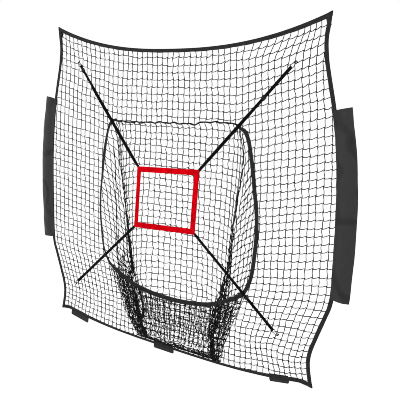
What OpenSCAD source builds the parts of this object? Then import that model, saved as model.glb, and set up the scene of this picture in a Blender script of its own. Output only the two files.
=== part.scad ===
// Pitching target net: a panel of cord netting with a ball pocket and a strung target square.
// +X is to the right seen from the thrower, +Y runs away from the thrower, +Z is up.
// The origin is the middle of the line between the two bottom corners, in the panel's plane.

/* [Panel] */
// Half the distance between the panel's corners
panel_half_w = 1090; // [1040:5:1140]
// Height of the top corners above the bottom corners
panel_h = 2134; // [2080:5:2200]
// How far the middle of the top edge hangs below the top corners
top_dip = 176; // [150:2:200]
// How far the middle of the bottom edge hangs below the bottom corners
bottom_dip = 48; // [36:2:60]
// Greatest outward bow of the side edges past the corners
side_bow = 107; // [90:1:125]
// Width of the folded fabric binding along the panel's edges
hem_w = 28; // [24:1:34]
// Thickness of one layer of that binding
binding_t = 1; // [0.8:0.1:1.4]

/* [Netting] */
// Diameter of the netting cord
cord_d = 3; // [2.4:0.2:3.6]
// Distance between neighbouring cords
mesh_pitch = 109; // [104:1:116]

/* [Pocket] */
// Half the greatest width of the pocket's mouth
mouth_half_w = 680; // [650:5:700]
// Height of the mouth's lowest point
mouth_bottom = 290; // [280:2:310]
// Height of the mouth's top edge
mouth_top = 1498; // [1470:2:1520]
// Width of the webbing round the mouth
rim_w = 28; // [22:1:32]
// Diameter of the cord along the mouth's top
rim_cord_d = 8; // [6:0.5:10]
// Depth of the pocket behind the panel
pocket_depth = 160; // [140:2:180]
// Thickness of the pocket's netting
pocket_t = 2.5; // [2:0.1:3]
// Half width of the gathered end of the pocket
gather_half_w = 425; // [405:5:440]

/* [Pole sleeves] */
// How far a sleeve reaches past the side edge
sleeve_w = 102; // [90:1:112]
// Height of a sleeve's lower end
sleeve_low = 556; // [530:2:580]
// Height of a sleeve's upper end
sleeve_high = 1610; // [1590:2:1630]
// Half the room inside a sleeve, front to back
sleeve_room = 13; // [11:0.5:16]
// Thickness of the sleeve fabric
sleeve_t = 1.2; // [1:0.1:1.5]

/* [Corner pockets] */
// Diameter of the hole that takes a pole tip
tip_bore_d = 13; // [11:0.5:14]
// Depth of that hole
tip_bore_depth = 42; // [36:1:48]
// Wall of the corner pocket
tip_wall = 2.5; // [2:0.1:3]
// Lean of the corner pocket from the vertical, in degrees
tip_lean = 15; // [10:1:18]

/* [Target] */
// Outer width of the target square
target_w = 524; // [500:2:540]
// Outer height of the target square
target_h = 420; // [400:2:440]
// Width of the red webbing
target_web = 32; // [28:1:38]
// Sideways offset of the square's centre
target_x = -46; // [-60:1:-30]
// Height of the square's centre
target_z = 982; // [960:2:1000]

/* [Straps] */
// Width of the strap webbing
strap_w = 20; // [18:1:25]
// Thickness of the strap and target webbing
web_t = 1.6; // [1.3:0.1:1.8]
// Distance of the straps' back face in front of the panel's middle plane
strap_off = 4.2; // [4.2:0.1:5]
// Diameter of the hook wire
wire_d = 2.5; // [2:0.1:3]
// Length of a hook from its bail to its bend
hook_len = 32; // [28:1:36]
// Length of a slider along the strap
slider_len = 26; // [22:1:30]

/* [Base tabs] */
// Width of an outer base tab
tab_w = 185; // [150:5:200]
// Width of the middle base tab
tab_mid_w = 176; // [150:2:190]
// Height of a base tab
tab_h = 50; // [44:1:54]
// Thickness of the tab webbing
tab_t = 1.5; // [1.2:0.1:1.8]
// Thickness of one hook-and-loop strip
pad_t = 1.2; // [1:0.1:1.4]

/* [Hidden] */
$fn = 24;

clear = 0.3;                            // running clearance between soft solids
hem_t = cord_d + 2 * binding_t;         // thickness of the folded binding
hem_y = hem_t / 2;                      // its back face
seam = hem_w / 2;                       // depth to which the netting runs into the binding
rim_seam = rim_w / 2;
z_mid0 = mouth_bottom + 120;            // lowest straight row of the netting
z_mid1 = mouth_top + 2;                 // highest straight row
rows_mid = round((z_mid1 - z_mid0) / mesh_pitch);
rows_top = round((panel_h - top_dip - z_mid1) / mesh_pitch);
rows_low = round((z_mid0 + bottom_dip) / mesh_pitch);
rows = rows_low + rows_mid + rows_top;
cols = round((panel_half_w - 30) / mesh_pitch);     // columns each side of the middle
cut_top = round(cols / 2);
cut_low = 3;
cut_mid = rows_low + round(0.4 * rows_mid);

// ---- outline of the panel, counter-clockwise seen from the thrower ----

// Share of the height, and share of the side bow, chosen by eye along one side edge.
side_curve = [[0, 0], [0.06, -0.22], [0.1, -0.15], [0.15, 0.19], [0.2, 0.56], [0.26, 0.93],
    [0.375, 1], [0.49, 1], [0.585, 0.93], [0.68, 0.75], [0.76, 0.48], [0.84, 0.11],
    [0.885, -0.07], [0.93, -0.15], [0.965, -0.06], [1, 0]];
function side_x(z) = panel_half_w + side_bow * lookup(z / panel_h, side_curve);
function top_z(x) = panel_h - top_dip * (1 - pow(min(abs(x) / panel_half_w, 1), 2.4));
corner_run = 90;                        // straight length beside a bottom corner
corner_rise = 10;
function bottom_z(x) = let(u = panel_half_w - corner_run)
    abs(x) < u ? -bottom_dip + (bottom_dip + corner_rise) * pow(abs(x) / u, 3)
               : corner_rise * max(panel_half_w - abs(x), 0) / corner_run;

edge_n = 22;                            // straight pieces along the top and the bottom edge
side_n = len(side_curve) - 1;
edge_x = [for (i = [0 : edge_n])
    i == 0 ? -panel_half_w : i == edge_n ? panel_half_w :
    (panel_half_w - corner_run) * (2 * (i - 1) / (edge_n - 2) - 1)];
side_z = [for (p = side_curve) p[0] * panel_h];
low_line = [for (x = edge_x) [x, bottom_z(x)]];
right_line = [for (z = side_z) [side_x(z), z]];
top_line = [for (i = [edge_n : -1 : 0]) [edge_x[i], top_z(edge_x[i])]];
left_line = [for (i = [side_n : -1 : 0]) [-side_x(side_z[i]), side_z[i]]];
function but_last(p) = [for (i = [0 : len(p) - 2]) p[i]];
outline = concat(but_last(low_line), but_last(right_line), but_last(top_line), but_last(left_line));

function left_of(p, q) = [p[1] - q[1], q[0] - p[0]] / norm(q - p);
function inset(p, d) = let(n = len(p)) [for (i = [0 : n - 1])
    let(a = left_of(p[(i + n - 1) % n], p[i]), b = left_of(p[i], p[(i + 1) % n]))
    p[i] + d * (a + b) / (1 + a * b)];
function inset_open(p, d) = let(n = len(p)) [for (i = [0 : n - 1])
    let(a = left_of(p[max(i - 1, 0)], p[max(i, 1)]),
        b = left_of(p[min(i, n - 2)], p[min(i + 1, n - 1)]))
    p[i] + d * (a + b) / (1 + a * b)];
function back_to_front(p) = [for (i = [len(p) - 1 : -1 : 0]) p[i]];

// ---- the pocket's mouth ----

// Share of the mouth's half width and of its height, from the lowest point to the top corner.
mouth_curve = [[0, 0], [0.2, 0.005], [0.4, 0.019], [0.53, 0.037], [0.66, 0.068], [0.78, 0.101],
    [0.87, 0.137], [0.926, 0.186], [0.963, 0.248], [0.985, 0.331], [1, 0.44], [1, 0.53],
    [0.985, 0.613], [0.963, 0.695], [0.941, 0.778], [0.915, 0.861], [0.882, 0.935],
    [0.838, 0.981], [0.774, 1]];
mouth_low_i = 6;                        // where the bottom strip of the rim ends
function mouth_pt(c) = [c[0] * mouth_half_w, mouth_bottom + c[1] * (mouth_top - mouth_bottom)];
mouth_right = [for (c = mouth_curve) mouth_pt(c)];
mouth_left = [for (i = [len(mouth_curve) - 1 : -1 : 1]) [-mouth_right[i][0], mouth_right[i][1]]];
mouth_line = concat(mouth_left, mouth_right);
mouth_n = len(mouth_line);
mouth_corner = mouth_right[len(mouth_right) - 1][0];
mouth_by_z = [for (c = mouth_right) [c[1], c[0]]];
function mouth_x(z) = lookup(z, mouth_by_z);
function mouth_z(x) = lookup(abs(x), [for (i = [0 : mouth_low_i]) mouth_right[i]]);

// ---- netting ----

function grid_x(i, z) = let(s = i / cols, w = panel_half_w - 30)
    s * (w + (side_x(z) - seam + 4 - w) * pow(abs(s), 3));
top_mid = panel_h - top_dip - seam;
low_mid = -bottom_dip + seam;
// Outside the mouth's corners the rows are drawn up towards the sides, by this slope at a height.
lift_curve = [[z_mid0, 0.12], [z_mid0 + 290, 0.2], [z_mid1 - 200, 0.2], [z_mid1, 0.24]];
function lift(x, z) = lookup(z, lift_curve) * max(abs(x) - mouth_corner, 0);
function row_z(x, j) =
    j <= rows_low ?
        let(w = (rows_low - j) / rows_low)
        z_mid0 - w * (z_mid0 - low_mid) + (bottom_z(x) + seam - low_mid) * pow(w, 1.5)
            + (1 - w) * lift(x, z_mid0)
    : j <= rows_low + rows_mid ?
        let(z = z_mid0 + (j - rows_low) * (z_mid1 - z_mid0) / rows_mid)
        z + lift(x, z)
    :
        let(w = (j - rows_low - rows_mid) / rows_top)
        z_mid1 + w * (top_mid - z_mid1) + (top_z(x) - seam - top_mid) * pow(w, 1.5)
            + (1 - w) * lift(x, z_mid1);
function grid(i, j) =
    let(x0 = panel_half_w * i / cols, z0 = row_z(x0, j), x1 = grid_x(i, max(min(z0, panel_h), 0)))
    [x1, row_z(x1, j) + (j == 0 ? -4 : 0) + (j == rows ? 4 : 0)];
function field(i0, i1, j0, j1) = concat(
    [for (i = [i0 : i1 - 1]) grid(i, j0)],
    [for (j = [j0 : j1 - 1]) grid(i1, j)],
    [for (i = [i1 : -1 : i0 + 1]) grid(i, j1)],
    [for (j = [j1 : -1 : j0 + 1]) grid(i0, j)]);
function cell(i, j) = [grid(i, j), grid(i + 1, j), grid(i + 1, j + 1), grid(i, j + 1)];

module mouth_area(d) {
    polygon(concat(inset_open(mouth_line, d), [[mouth_corner, mouth_top + 1], [-mouth_corner, mouth_top + 1]]));
}

module net(i0, i1, j0, j1) {
    rotate([90, 0, 0])
        linear_extrude(height = cord_d, center = true)
            difference() {
                intersection() {
                    polygon(inset(field(i0, i1, j0, j1), clear / 2));
                    polygon(inset(outline, seam));
                }
                intersection() {
                    union()
                        for (i = [i0 : i1 - 1])
                            for (j = [j0 : j1 - 1])
                                polygon(inset(cell(i, j), cord_d / 2));
                    difference() {
                        polygon(inset(outline, seam + cord_d));
                        mouth_area(rim_seam - cord_d);
                    }
                }
                mouth_area(rim_seam);
            }
}

module netting_top() {
    color("#1c1c1e") {
        net(-cols, -cut_top, rows_low + rows_mid, rows);
        net(-cut_top, cut_top, rows_low + rows_mid, rows);
        net(cut_top, cols, rows_low + rows_mid, rows);
    }
}

module netting_side() {
    net(cut_top, cols, rows_low, cut_mid);
    net(cut_top, cols, cut_mid, rows_low + rows_mid);
}

module netting_left() {
    color("#1c1c1e") mirror([1, 0, 0]) netting_side();
}

module netting_right() {
    color("#1c1c1e") netting_side();
}

module netting_bottom() {
    color("#1c1c1e") {
        net(-cols, -cut_low, 0, rows_low);
        net(-cut_low, cut_low, 0, rows_low);
        net(cut_low, cols, 0, rows_low);
    }
}

// ---- folded binding: a strip with a slot along its inner edge for the netting ----

module strip(outer, inner, slot_outer, slot_inner) {
    rotate([90, 0, 0])
        difference() {
            linear_extrude(height = hem_t, center = true)
                polygon(concat(outer, back_to_front(inner)));
            linear_extrude(height = cord_d, center = true)
                polygon(concat(slot_outer, back_to_front(slot_inner)));
        }
}

outline_in = inset(outline, hem_w);
outline_slot = inset(outline, seam - clear);
outline_slot_in = inset(outline, hem_w + 2);
function part_of(p, a, b) = [for (i = [a : b]) p[i % len(p)]];

module hem(a, b) {
    color("#38383b")
        strip(part_of(outline, a, b), part_of(outline_in, a, b),
            part_of(outline_slot, a, b), part_of(outline_slot_in, a, b));
}

module bottom_hem() { hem(0, edge_n); }
module right_hem() { hem(edge_n, edge_n + side_n); }
module top_hem() { hem(edge_n + side_n, 2 * edge_n + side_n); }
module left_hem() { hem(2 * edge_n + side_n, 2 * (edge_n + side_n)); }

rim_in = inset_open(mouth_line, rim_w);
rim_slot = inset_open(mouth_line, rim_seam + clear);
rim_slot_out = inset_open(mouth_line, -2);

module rim(a, b) {
    color("#3a3a3d")
        strip(part_of(mouth_line, a, b), part_of(rim_in, a, b),
            part_of(rim_slot_out, a, b), part_of(rim_slot, a, b));
}

rim_a = len(mouth_left) - mouth_low_i;
rim_b = len(mouth_left) + mouth_low_i;
module pocket_rim_left() { rim(0, rim_a); }
module pocket_rim_bottom() { rim(rim_a, rim_b); }
module pocket_rim_right() { rim(rim_b, mouth_n - 1); }

// A round cord swept along points that run mainly in X.
module swept(pts, r, sides) {
    n = len(pts);
    ring = [for (p = pts) for (k = [0 : sides - 1])
        p + r * [0, cos(360 * k / sides), sin(360 * k / sides)]];
    polyhedron(ring, concat(
        [[for (k = [0 : sides - 1]) k]],
        [[for (k = [sides - 1 : -1 : 0]) (n - 1) * sides + k]],
        [for (i = [0 : n - 2]) for (k = [0 : sides - 1])
            [i * sides + k, (i + 1) * sides + k, (i + 1) * sides + (k + 1) % sides]],
        [for (i = [0 : n - 2]) for (k = [0 : sides - 1])
            [i * sides + k, (i + 1) * sides + (k + 1) % sides, i * sides + (k + 1) % sides]]), 6);
}

module pocket_rim_cord() {
    run = mouth_corner - 5;
    color("#161617")
        swept([for (i = [-20 : 20])
            [run * i / 20, 0, z_mid1 - clear - rim_cord_d / 2 - 1.5 + 1.2 * sin(i * 70)]],
            rim_cord_d / 2, 8);
}

// ---- pocket: shells laid between two grids of points ----

module shell(front, back) {
    m = len(front);
    n = len(front[0]);
    o = m * n;
    pts = concat([for (r = front) for (p = r) p], [for (r = back) for (p = r) p]);
    polyhedron(pts, concat(
        [for (i = [0 : m - 2]) for (k = [0 : n - 2]) [i * n + k, i * n + k + 1, (i + 1) * n + k + 1]],
        [for (i = [0 : m - 2]) for (k = [0 : n - 2]) [i * n + k, (i + 1) * n + k + 1, (i + 1) * n + k]],
        [for (i = [0 : m - 2]) for (k = [0 : n - 2])
            [o + i * n + k, o + (i + 1) * n + k + 1, o + i * n + k + 1]],
        [for (i = [0 : m - 2]) for (k = [0 : n - 2])
            [o + i * n + k, o + (i + 1) * n + k, o + (i + 1) * n + k + 1]],
        [for (i = [0 : m - 2]) [i * n, (i + 1) * n, o + (i + 1) * n]],
        [for (i = [0 : m - 2]) [i * n, o + (i + 1) * n, o + i * n]],
        [for (i = [0 : m - 2]) [i * n + n - 1, o + (i + 1) * n + n - 1, (i + 1) * n + n - 1]],
        [for (i = [0 : m - 2]) [i * n + n - 1, o + i * n + n - 1, o + (i + 1) * n + n - 1]],
        [for (k = [0 : n - 2]) [k, o + k, o + k + 1]],
        [for (k = [0 : n - 2]) [k, o + k + 1, k + 1]],
        [for (k = [0 : n - 2]) [(m - 1) * n + k, o + (m - 1) * n + k + 1, o + (m - 1) * n + k]],
        [for (k = [0 : n - 2]) [(m - 1) * n + k, (m - 1) * n + k + 1, o + (m - 1) * n + k + 1]]), 6);
}
function pushed(g, d) = [for (r = g) [for (p = r) p + [0, d, 0]]];

gather_top = 46;                        // upper edge of the gathered end
gather_low = -25;                       // lower edge of the gathered end
pocket_y = hem_y + clear;               // front of the pocket's netting at the rim
// Each row: share of the way down, crease offset from the mouth's corner, crease depth share,
// middle depth share.
pocket_rows = [[0, 4, 0, 0], [0.04, 8, 0.12, 0.2], [0.1, 9, 0.3, 0.42], [0.2, -2, 0.4, 0.62],
    [0.32, -36, 0.45, 0.78], [0.46, -71, 0.48, 0.9], [0.6, -96, 0.51, 0.97], [0.72, -126, 0.54, 1],
    [0.82, -166, 0.58, 1], [0.9, -196, 0.6, 0.93], [0.96, -222, 0.5, 0.62], [1, -246, 0.06, 0.07]];
function pocket_z(r) = mouth_top - 4 - r[0] * (mouth_top - 4 - gather_top - clear);
function crease_x(r) = mouth_corner + r[1] + r[0] * (gather_half_w - 425);
behind_cord = rim_cord_d / 2 + clear;
function crease_y(r) = max(pocket_y + r[2] * pocket_depth, behind_cord);
function belly_y(r) = max(pocket_y + r[3] * pocket_depth, behind_cord);
skirt_z = mouth_right[mouth_low_i][1];
skirt_x = mouth_right[mouth_low_i][0];
function front_x(z) = z >= skirt_z ? mouth_x(min(z, mouth_top - 1)) - 1 :
    gather_half_w + 5 + (skirt_x - 1 - gather_half_w - 5) * (z - gather_top) / (skirt_z - gather_top);

module pocket_back() {
    g = [for (r = pocket_rows) [for (k = [-6 : 6]) let(u = k / 6)
        [u * (crease_x(r) - 0.3), crease_y(r) + (belly_y(r) - crease_y(r)) * (1 - u * u), pocket_z(r)]]];
    color("#141415") shell(g, pushed(g, pocket_t));
}

// Front edge of the pocket's side: beside the rim, and behind the skirt below it.
function side_edge_y(z) = z > skirt_z ? pocket_y : pocket_y + pocket_t + clear;
module pocket_side() {
    g = [for (r = pocket_rows) let(z = pocket_z(r), f = front_x(z), c = crease_x(r) + 0.3)
        [for (k = [0 : 2]) let(u = k / 2) [c + (max(f, c + 4) - c) * u,
            crease_y(r) + (side_edge_y(z) - crease_y(r)) * u, z]]];
    color("#141415") shell(g, pushed(g, pocket_t));
}

module pocket_side_right() { pocket_side(); }
module pocket_side_left() { mirror([1, 0, 0]) pocket_side(); }

module pocket_front() {
    a = skirt_x - rim_seam;
    g = [for (j = [6 : -1 : 0]) [for (k = [-8 : 8]) let(u = k / 8, v = 1 - j / 6,
            t = [u * a, mouth_z(u * a) + 2], b = [u * gather_half_w, gather_top + clear])
        [t[0] + (b[0] - t[0]) * v, pocket_y, t[1] + (b[1] - t[1]) * v]]];
    color("#141415") shell(g, pushed(g, pocket_t));
}

module pocket_gather() {
    half = gather_half_w;
    low = gather_low;
    pleats = 42;
    color("#101011")
        translate([0, 0, low])
            linear_extrude(height = gather_top - low)
                polygon(concat(
                    [[-half, pocket_y], [half, pocket_y]],
                    [for (k = [pleats : -1 : 0])
                        [half * (2 * k / pleats - 1), pocket_y + 13 + (k % 2 == 0 ? 0 : 4)]]));
}

// ---- pole sleeves: fabric folded round the side binding and closed at its outer fold ----

// Share of the width past the binding, and share of the room inside at that place.
sleeve_curve = [[0.08, 0.32], [0.2, 0.62], [0.34, 0.88], [0.5, 1], [0.66, 0.93], [0.8, 0.7],
    [0.9, 0.44], [0.97, 0.18]];
sleeve_y = hem_y + clear;
function sleeve_wall(z, rise, out) =
    let(x0 = side_x(z) - hem_w + 1, x1 = side_x(z) + clear, w = sleeve_w - clear - sleeve_t,
        f = concat([[x0, sleeve_y], [x1, sleeve_y]],
            [for (c = sleeve_curve) [x1 + c[0] * w, sleeve_y * (1 - c[0]) + sleeve_room * c[1] * 0.9]]),
        n = len(f))
    concat(
        [for (i = [0 : n - 1]) [f[i][0], -f[i][1] - out, z + rise * (f[i][0] - x0) / sleeve_w]],
        [[x1 + w + out, 0, z + rise]],
        [for (i = [n - 1 : -1 : 0]) [f[i][0], f[i][1] + out, z + rise * (f[i][0] - x0) / sleeve_w]]);

module pole_sleeve() {
    st = 10;
    zs = [for (k = [0 : st]) [sleeve_high + (sleeve_low - sleeve_high) * k / st, k == 0 ? 14 : 0]];
    color("#3a3a3e")
        shell([for (s = zs) sleeve_wall(s[0], s[1], sleeve_t)], [for (s = zs) sleeve_wall(s[0], s[1], 0)]);
}

module pole_sleeve_right() { pole_sleeve(); }
module pole_sleeve_left() { mirror([1, 0, 0]) pole_sleeve(); }

// ---- corner pockets: a sewn flange and a short tube, closed at its top ----

tip_r = tip_bore_d / 2 + tip_wall;
flange_t = 1.5;
corner_in_x = panel_half_w - 24;        // top of the bore's axis
corner_in_z = panel_h - 34;
corner_y = hem_y + flange_t + tip_bore_d / 2 + tip_wall - 1;

module corner_pocket() {
    color("#2b2b2e")
        difference() {
            union() {
                translate([corner_in_x, corner_y, corner_in_z])
                    rotate([0, -tip_lean, 0])
                        translate([0, 0, -tip_bore_depth])
                            cylinder(r = tip_r, h = tip_bore_depth + tip_wall);
                translate([corner_in_x, hem_y + flange_t / 2, corner_in_z])
                    rotate([0, -tip_lean, 0])
                        translate([-14, -flange_t / 2, -tip_bore_depth + 4])
                            cube([28, flange_t + 1, tip_bore_depth - 6]);
            }
            translate([corner_in_x, corner_y, corner_in_z])
                rotate([0, -tip_lean, 0])
                    translate([0, 0, -tip_bore_depth - 1])
                        cylinder(r = tip_bore_d / 2, h = tip_bore_depth + 1, $fn = 48);
        }
}

module corner_pocket_right() { corner_pocket(); }
module corner_pocket_left() { mirror([1, 0, 0]) corner_pocket(); }

// ---- target square: four strips of webbing sewn over each other at the corners ----

target_lean = 14;                       // the square leans this far at its top and bottom edge
target_tilt = 12;                       // and rises this far at its right side
target_tl = [target_x - target_w / 2 + target_lean, target_z + target_h / 2 - target_tilt];
target_tr = [target_x + target_w / 2 + target_lean, target_z + target_h / 2 + target_tilt];
target_bl = [target_x - target_w / 2 - target_lean, target_z - target_h / 2 - target_tilt];
target_br = [target_x + target_w / 2 - target_lean, target_z - target_h / 2 + target_tilt];
target_y = -(strap_off + web_t + clear);
square_in = inset([target_bl, target_br, target_tr, target_tl], target_web);

module web_strip(pts, y) {
    color("#e00a18")
        translate([0, y, 0])
            rotate([90, 0, 0])
                linear_extrude(height = web_t)
                    polygon(pts);
}
// Where the line through two inner corners meets the outer edge through p and q.
function meet(a, b, p, q) = let(d = b - a, e = q - p, w = p - a,
    t = (w[0] * e[1] - w[1] * e[0]) / (d[0] * e[1] - d[1] * e[0])) a + t * d;
tl_in = square_in[3];
tr_in = square_in[2];
br_in = square_in[1];
bl_in = square_in[0];

module target_top() {
    web_strip([target_tl, meet(tl_in, tr_in, target_tl, target_bl),
        meet(tl_in, tr_in, target_tr, target_br), target_tr], target_y);
}
module target_bottom() {
    web_strip([target_bl, target_br, meet(bl_in, br_in, target_tr, target_br),
        meet(bl_in, br_in, target_tl, target_bl)], target_y);
}
module target_left() {
    web_strip([target_tl, target_bl, meet(tl_in, bl_in, target_bl, target_br),
        meet(tl_in, bl_in, target_tl, target_tr)], target_y - web_t);
}
module target_right() {
    web_strip([target_tr, meet(tr_in, br_in, target_tl, target_tr),
        meet(tr_in, br_in, target_bl, target_br), target_br], target_y - web_t);
}

// ---- straps, sliders and hooks, drawn along X from the square's corner to the hook's end ----

// Corner of the square, end of the hook, distance of the slider from the hook's end.
in_c = target_web / 2;
run_ul = [target_tl + [in_c, -in_c], [-panel_half_w + 212, panel_h - 249], 82];
run_ur = [target_tr + [-in_c, -in_c], [panel_half_w - 205, panel_h - 265], 285];
run_ll = [target_bl + [in_c, in_c], [-panel_half_w + 158, 227], 430];
run_lr = [target_br + [-in_c, in_c], [panel_half_w - 247, 264], 296];

module along(run) {
    d = run[1] - run[0];
    translate([run[0][0], 0, run[0][1]])
        rotate([0, -atan2(d[1], d[0]), 0])
            children();
}
function run_len(run) = norm(run[1] - run[0]);
bend_run = 8;                           // the tip's slant past the bend
bail_back = hook_len + bend_run;        // distance of the bail from the hook's end
bail_y = -strap_off - web_t;            // the bail lies between the strap's two layers
bail_r = wire_d / 2;
leg_z = strap_w / 2 + clear + bail_r;
bend_x = hook_len - 3;
tip_coat_r = bail_r + 0.8;

module strap(run) {
    l = run_len(run) - bail_back;
    s = run_len(run) - run[2];
    fold_in = bail_r + clear;
    color("#101011")
        along(run)
            difference() {
                union() {
                    translate([-in_c + 3, -strap_off - web_t, -strap_w / 2])
                        cube([l + in_c - 3, web_t, strap_w]);
                    translate([s - slider_len / 3, -strap_off - 2 * web_t, -strap_w / 2])
                        cube([l - s + slider_len / 3, web_t, strap_w]);
                    translate([l, bail_y, -strap_w / 2])
                        cylinder(r = fold_in + web_t, h = strap_w);
                }
                translate([l, bail_y, -strap_w / 2 - 1])
                    cylinder(r = fold_in, h = strap_w + 2);
            }
}
module strap_upper_left() { strap(run_ul); }
module strap_upper_right() { strap(run_ur); }
module strap_lower_left() { strap(run_ll); }
module strap_lower_right() { strap(run_lr); }

slider_rim = 3.6;
module slider(run) {
    s = run_len(run) - run[2];
    y0 = -strap_off - 2 * web_t - clear;
    y1 = -strap_off + clear;
    color("#0c0c0d")
        along(run)
            difference() {
                translate([s - slider_len / 2, y0 - 1.5, -strap_w / 2 - slider_rim])
                    cube([slider_len, y1 - y0 + 2.5, strap_w + 2 * slider_rim]);
                translate([s - slider_len / 2 - 1, y0, -strap_w / 2 - clear])
                    cube([slider_len + 2, y1 - y0, strap_w + 2 * clear]);
                for (k = [-1, 1])
                    translate([s + k * slider_len / 4 - slider_len * 0.12, y0 - 3, -strap_w / 2])
                        cube([slider_len * 0.24, 3.2, strap_w]);
            }
}
module slider_upper_left() { slider(run_ul); }
module slider_upper_right() { slider(run_ur); }
module slider_lower_left() { slider(run_ll); }
module slider_lower_right() { slider(run_lr); }

module hook(run) {
    l = run_len(run) - bail_back;
    color("#9a9ca0")
        along(run)
            translate([l, bail_y, 0]) {
                translate([0, 0, -leg_z])
                    cylinder(r = bail_r, h = 2 * leg_z);
                for (k = [-1, 1])
                    translate([0, 0, k * leg_z]) {
                        sphere(r = bail_r);
                        rotate([0, 90, 0]) cylinder(r = bail_r, h = bend_x);
                    }
            }
}
module hook_upper_left() { hook(run_ul); }
module hook_upper_right() { hook(run_ur); }
module hook_lower_left() { hook(run_ll); }
module hook_lower_right() { hook(run_lr); }

tip_reach = strap_off + web_t + cord_d / 2 + 3;     // the tip's end behind the netting
tip_line = [[0, 0], [3, 0], [3 + bend_run, tip_reach], [2.4 + bend_run, tip_reach + 1.6]];
module hook_tip(run) {
    l = run_len(run) - bail_back;
    side = leg_z + tip_coat_r;
    color("#141415")
        along(run)
            translate([l + bend_x, bail_y, 0])
                difference() {
                    translate([0, 0, -side])
                        linear_extrude(height = 2 * side)
                            polygon(concat(inset_open(tip_line, -tip_coat_r),
                                back_to_front(inset_open(tip_line, tip_coat_r))));
                    translate([-1, -tip_coat_r - 1, -leg_z + tip_coat_r])
                        cube([bend_run + 12, tip_reach + 1, 2 * (leg_z - tip_coat_r)]);
                }
}
module hook_tip_upper_left() { hook_tip(run_ul); }
module hook_tip_upper_right() { hook_tip(run_ur); }
module hook_tip_lower_left() { hook_tip(run_ll); }
module hook_tip_lower_right() { hook_tip(run_lr); }

// ---- base tabs: a leaf behind the bottom binding and a flap that closes on it ----

// Middle of the tab, its width, height of its lower edge, its lean in degrees.
lap = 20;                               // how far a leaf runs up behind the binding
tab_l = [-panel_half_w + 195, tab_w, -47, 9.5];
tab_m = [-53, tab_mid_w, -bottom_dip + lap - tab_h, 0];
tab_r = [panel_half_w - 228, tab_w - 50, -33, -9];
leaf_y = hem_y;
flap_y = leaf_y + tab_t + 2 * pad_t + clear;

// Places a piece drawn from the middle of the tab's lower edge.
module at_tab(t) {
    translate([t[0], 0, t[2] + tab_h / 2])
        rotate([0, t[3], 0])
            translate([-t[1] / 2, 0, -tab_h / 2])
                children();
}
module tab_front(t) {
    color("#1b1b1d")
        at_tab(t)
            translate([0, leaf_y, tab_t + 2 * clear])
                cube([t[1], tab_t, tab_h - tab_t - 2 * clear]);
}
module tab_flap(t) {
    color("#1b1b1d")
        at_tab(t) {
            translate([0, flap_y, 0])
                cube([t[1], tab_t, tab_h - 2]);
            translate([0, leaf_y, 0])
                cube([t[1], flap_y - leaf_y + tab_t, tab_t]);
        }
}
pad_low = 8;
pad_h = 32;
module tab_hook_pad(t) {
    color("#0e0e0f")
        at_tab(t)
            translate([6, flap_y - pad_t, pad_low])
                cube([t[1] - 12, pad_t, pad_h]);
}
module tab_left_front() { tab_front(tab_l); }
module tab_left_flap() { tab_flap(tab_l); }
module tab_left_hook_pad() { tab_hook_pad(tab_l); }
module tab_middle_front() { tab_front(tab_m); }
module tab_middle_flap() { tab_flap(tab_m); }
module tab_middle_hook_pad() { tab_hook_pad(tab_m); }
module tab_right_front() { tab_front(tab_r); }
module tab_right_flap() { tab_flap(tab_r); }
module tab_right_hook_pad() { tab_hook_pad(tab_r); }

module loop_pads() {
    color("#242426")
        for (t = [tab_l, tab_m, tab_r])
            at_tab(t)
                translate([6, leaf_y + tab_t, pad_low])
                    cube([t[1] - 12, pad_t, pad_h]);
}

netting_top();
netting_left();
netting_right();
netting_bottom();
top_hem();
bottom_hem();
left_hem();
right_hem();
pocket_rim_left();
pocket_rim_right();
pocket_rim_bottom();
pocket_rim_cord();
pocket_back();
pocket_side_left();
pocket_side_right();
pocket_front();
pocket_gather();
pole_sleeve_left();
pole_sleeve_right();
corner_pocket_left();
corner_pocket_right();
target_top();
target_bottom();
target_left();
target_right();
strap_upper_left();
strap_upper_right();
strap_lower_left();
strap_lower_right();
slider_upper_left();
slider_upper_right();
slider_lower_left();
slider_lower_right();
hook_upper_left();
hook_upper_right();
hook_lower_left();
hook_lower_right();
hook_tip_upper_left();
hook_tip_upper_right();
hook_tip_lower_left();
hook_tip_lower_right();
tab_left_front();
tab_left_flap();
tab_left_hook_pad();
tab_middle_front();
tab_middle_flap();
tab_middle_hook_pad();
tab_right_front();
tab_right_flap();
tab_right_hook_pad();
loop_pads();
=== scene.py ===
"""A pitching target net: knotted netting, a ball pocket, sewn bindings and a strung red square.

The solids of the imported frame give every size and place. This script dresses them with netting
knot by knot, woven strips, fabric sleeves and small hardware, all in metres in the same frame.
"""
import math

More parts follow.
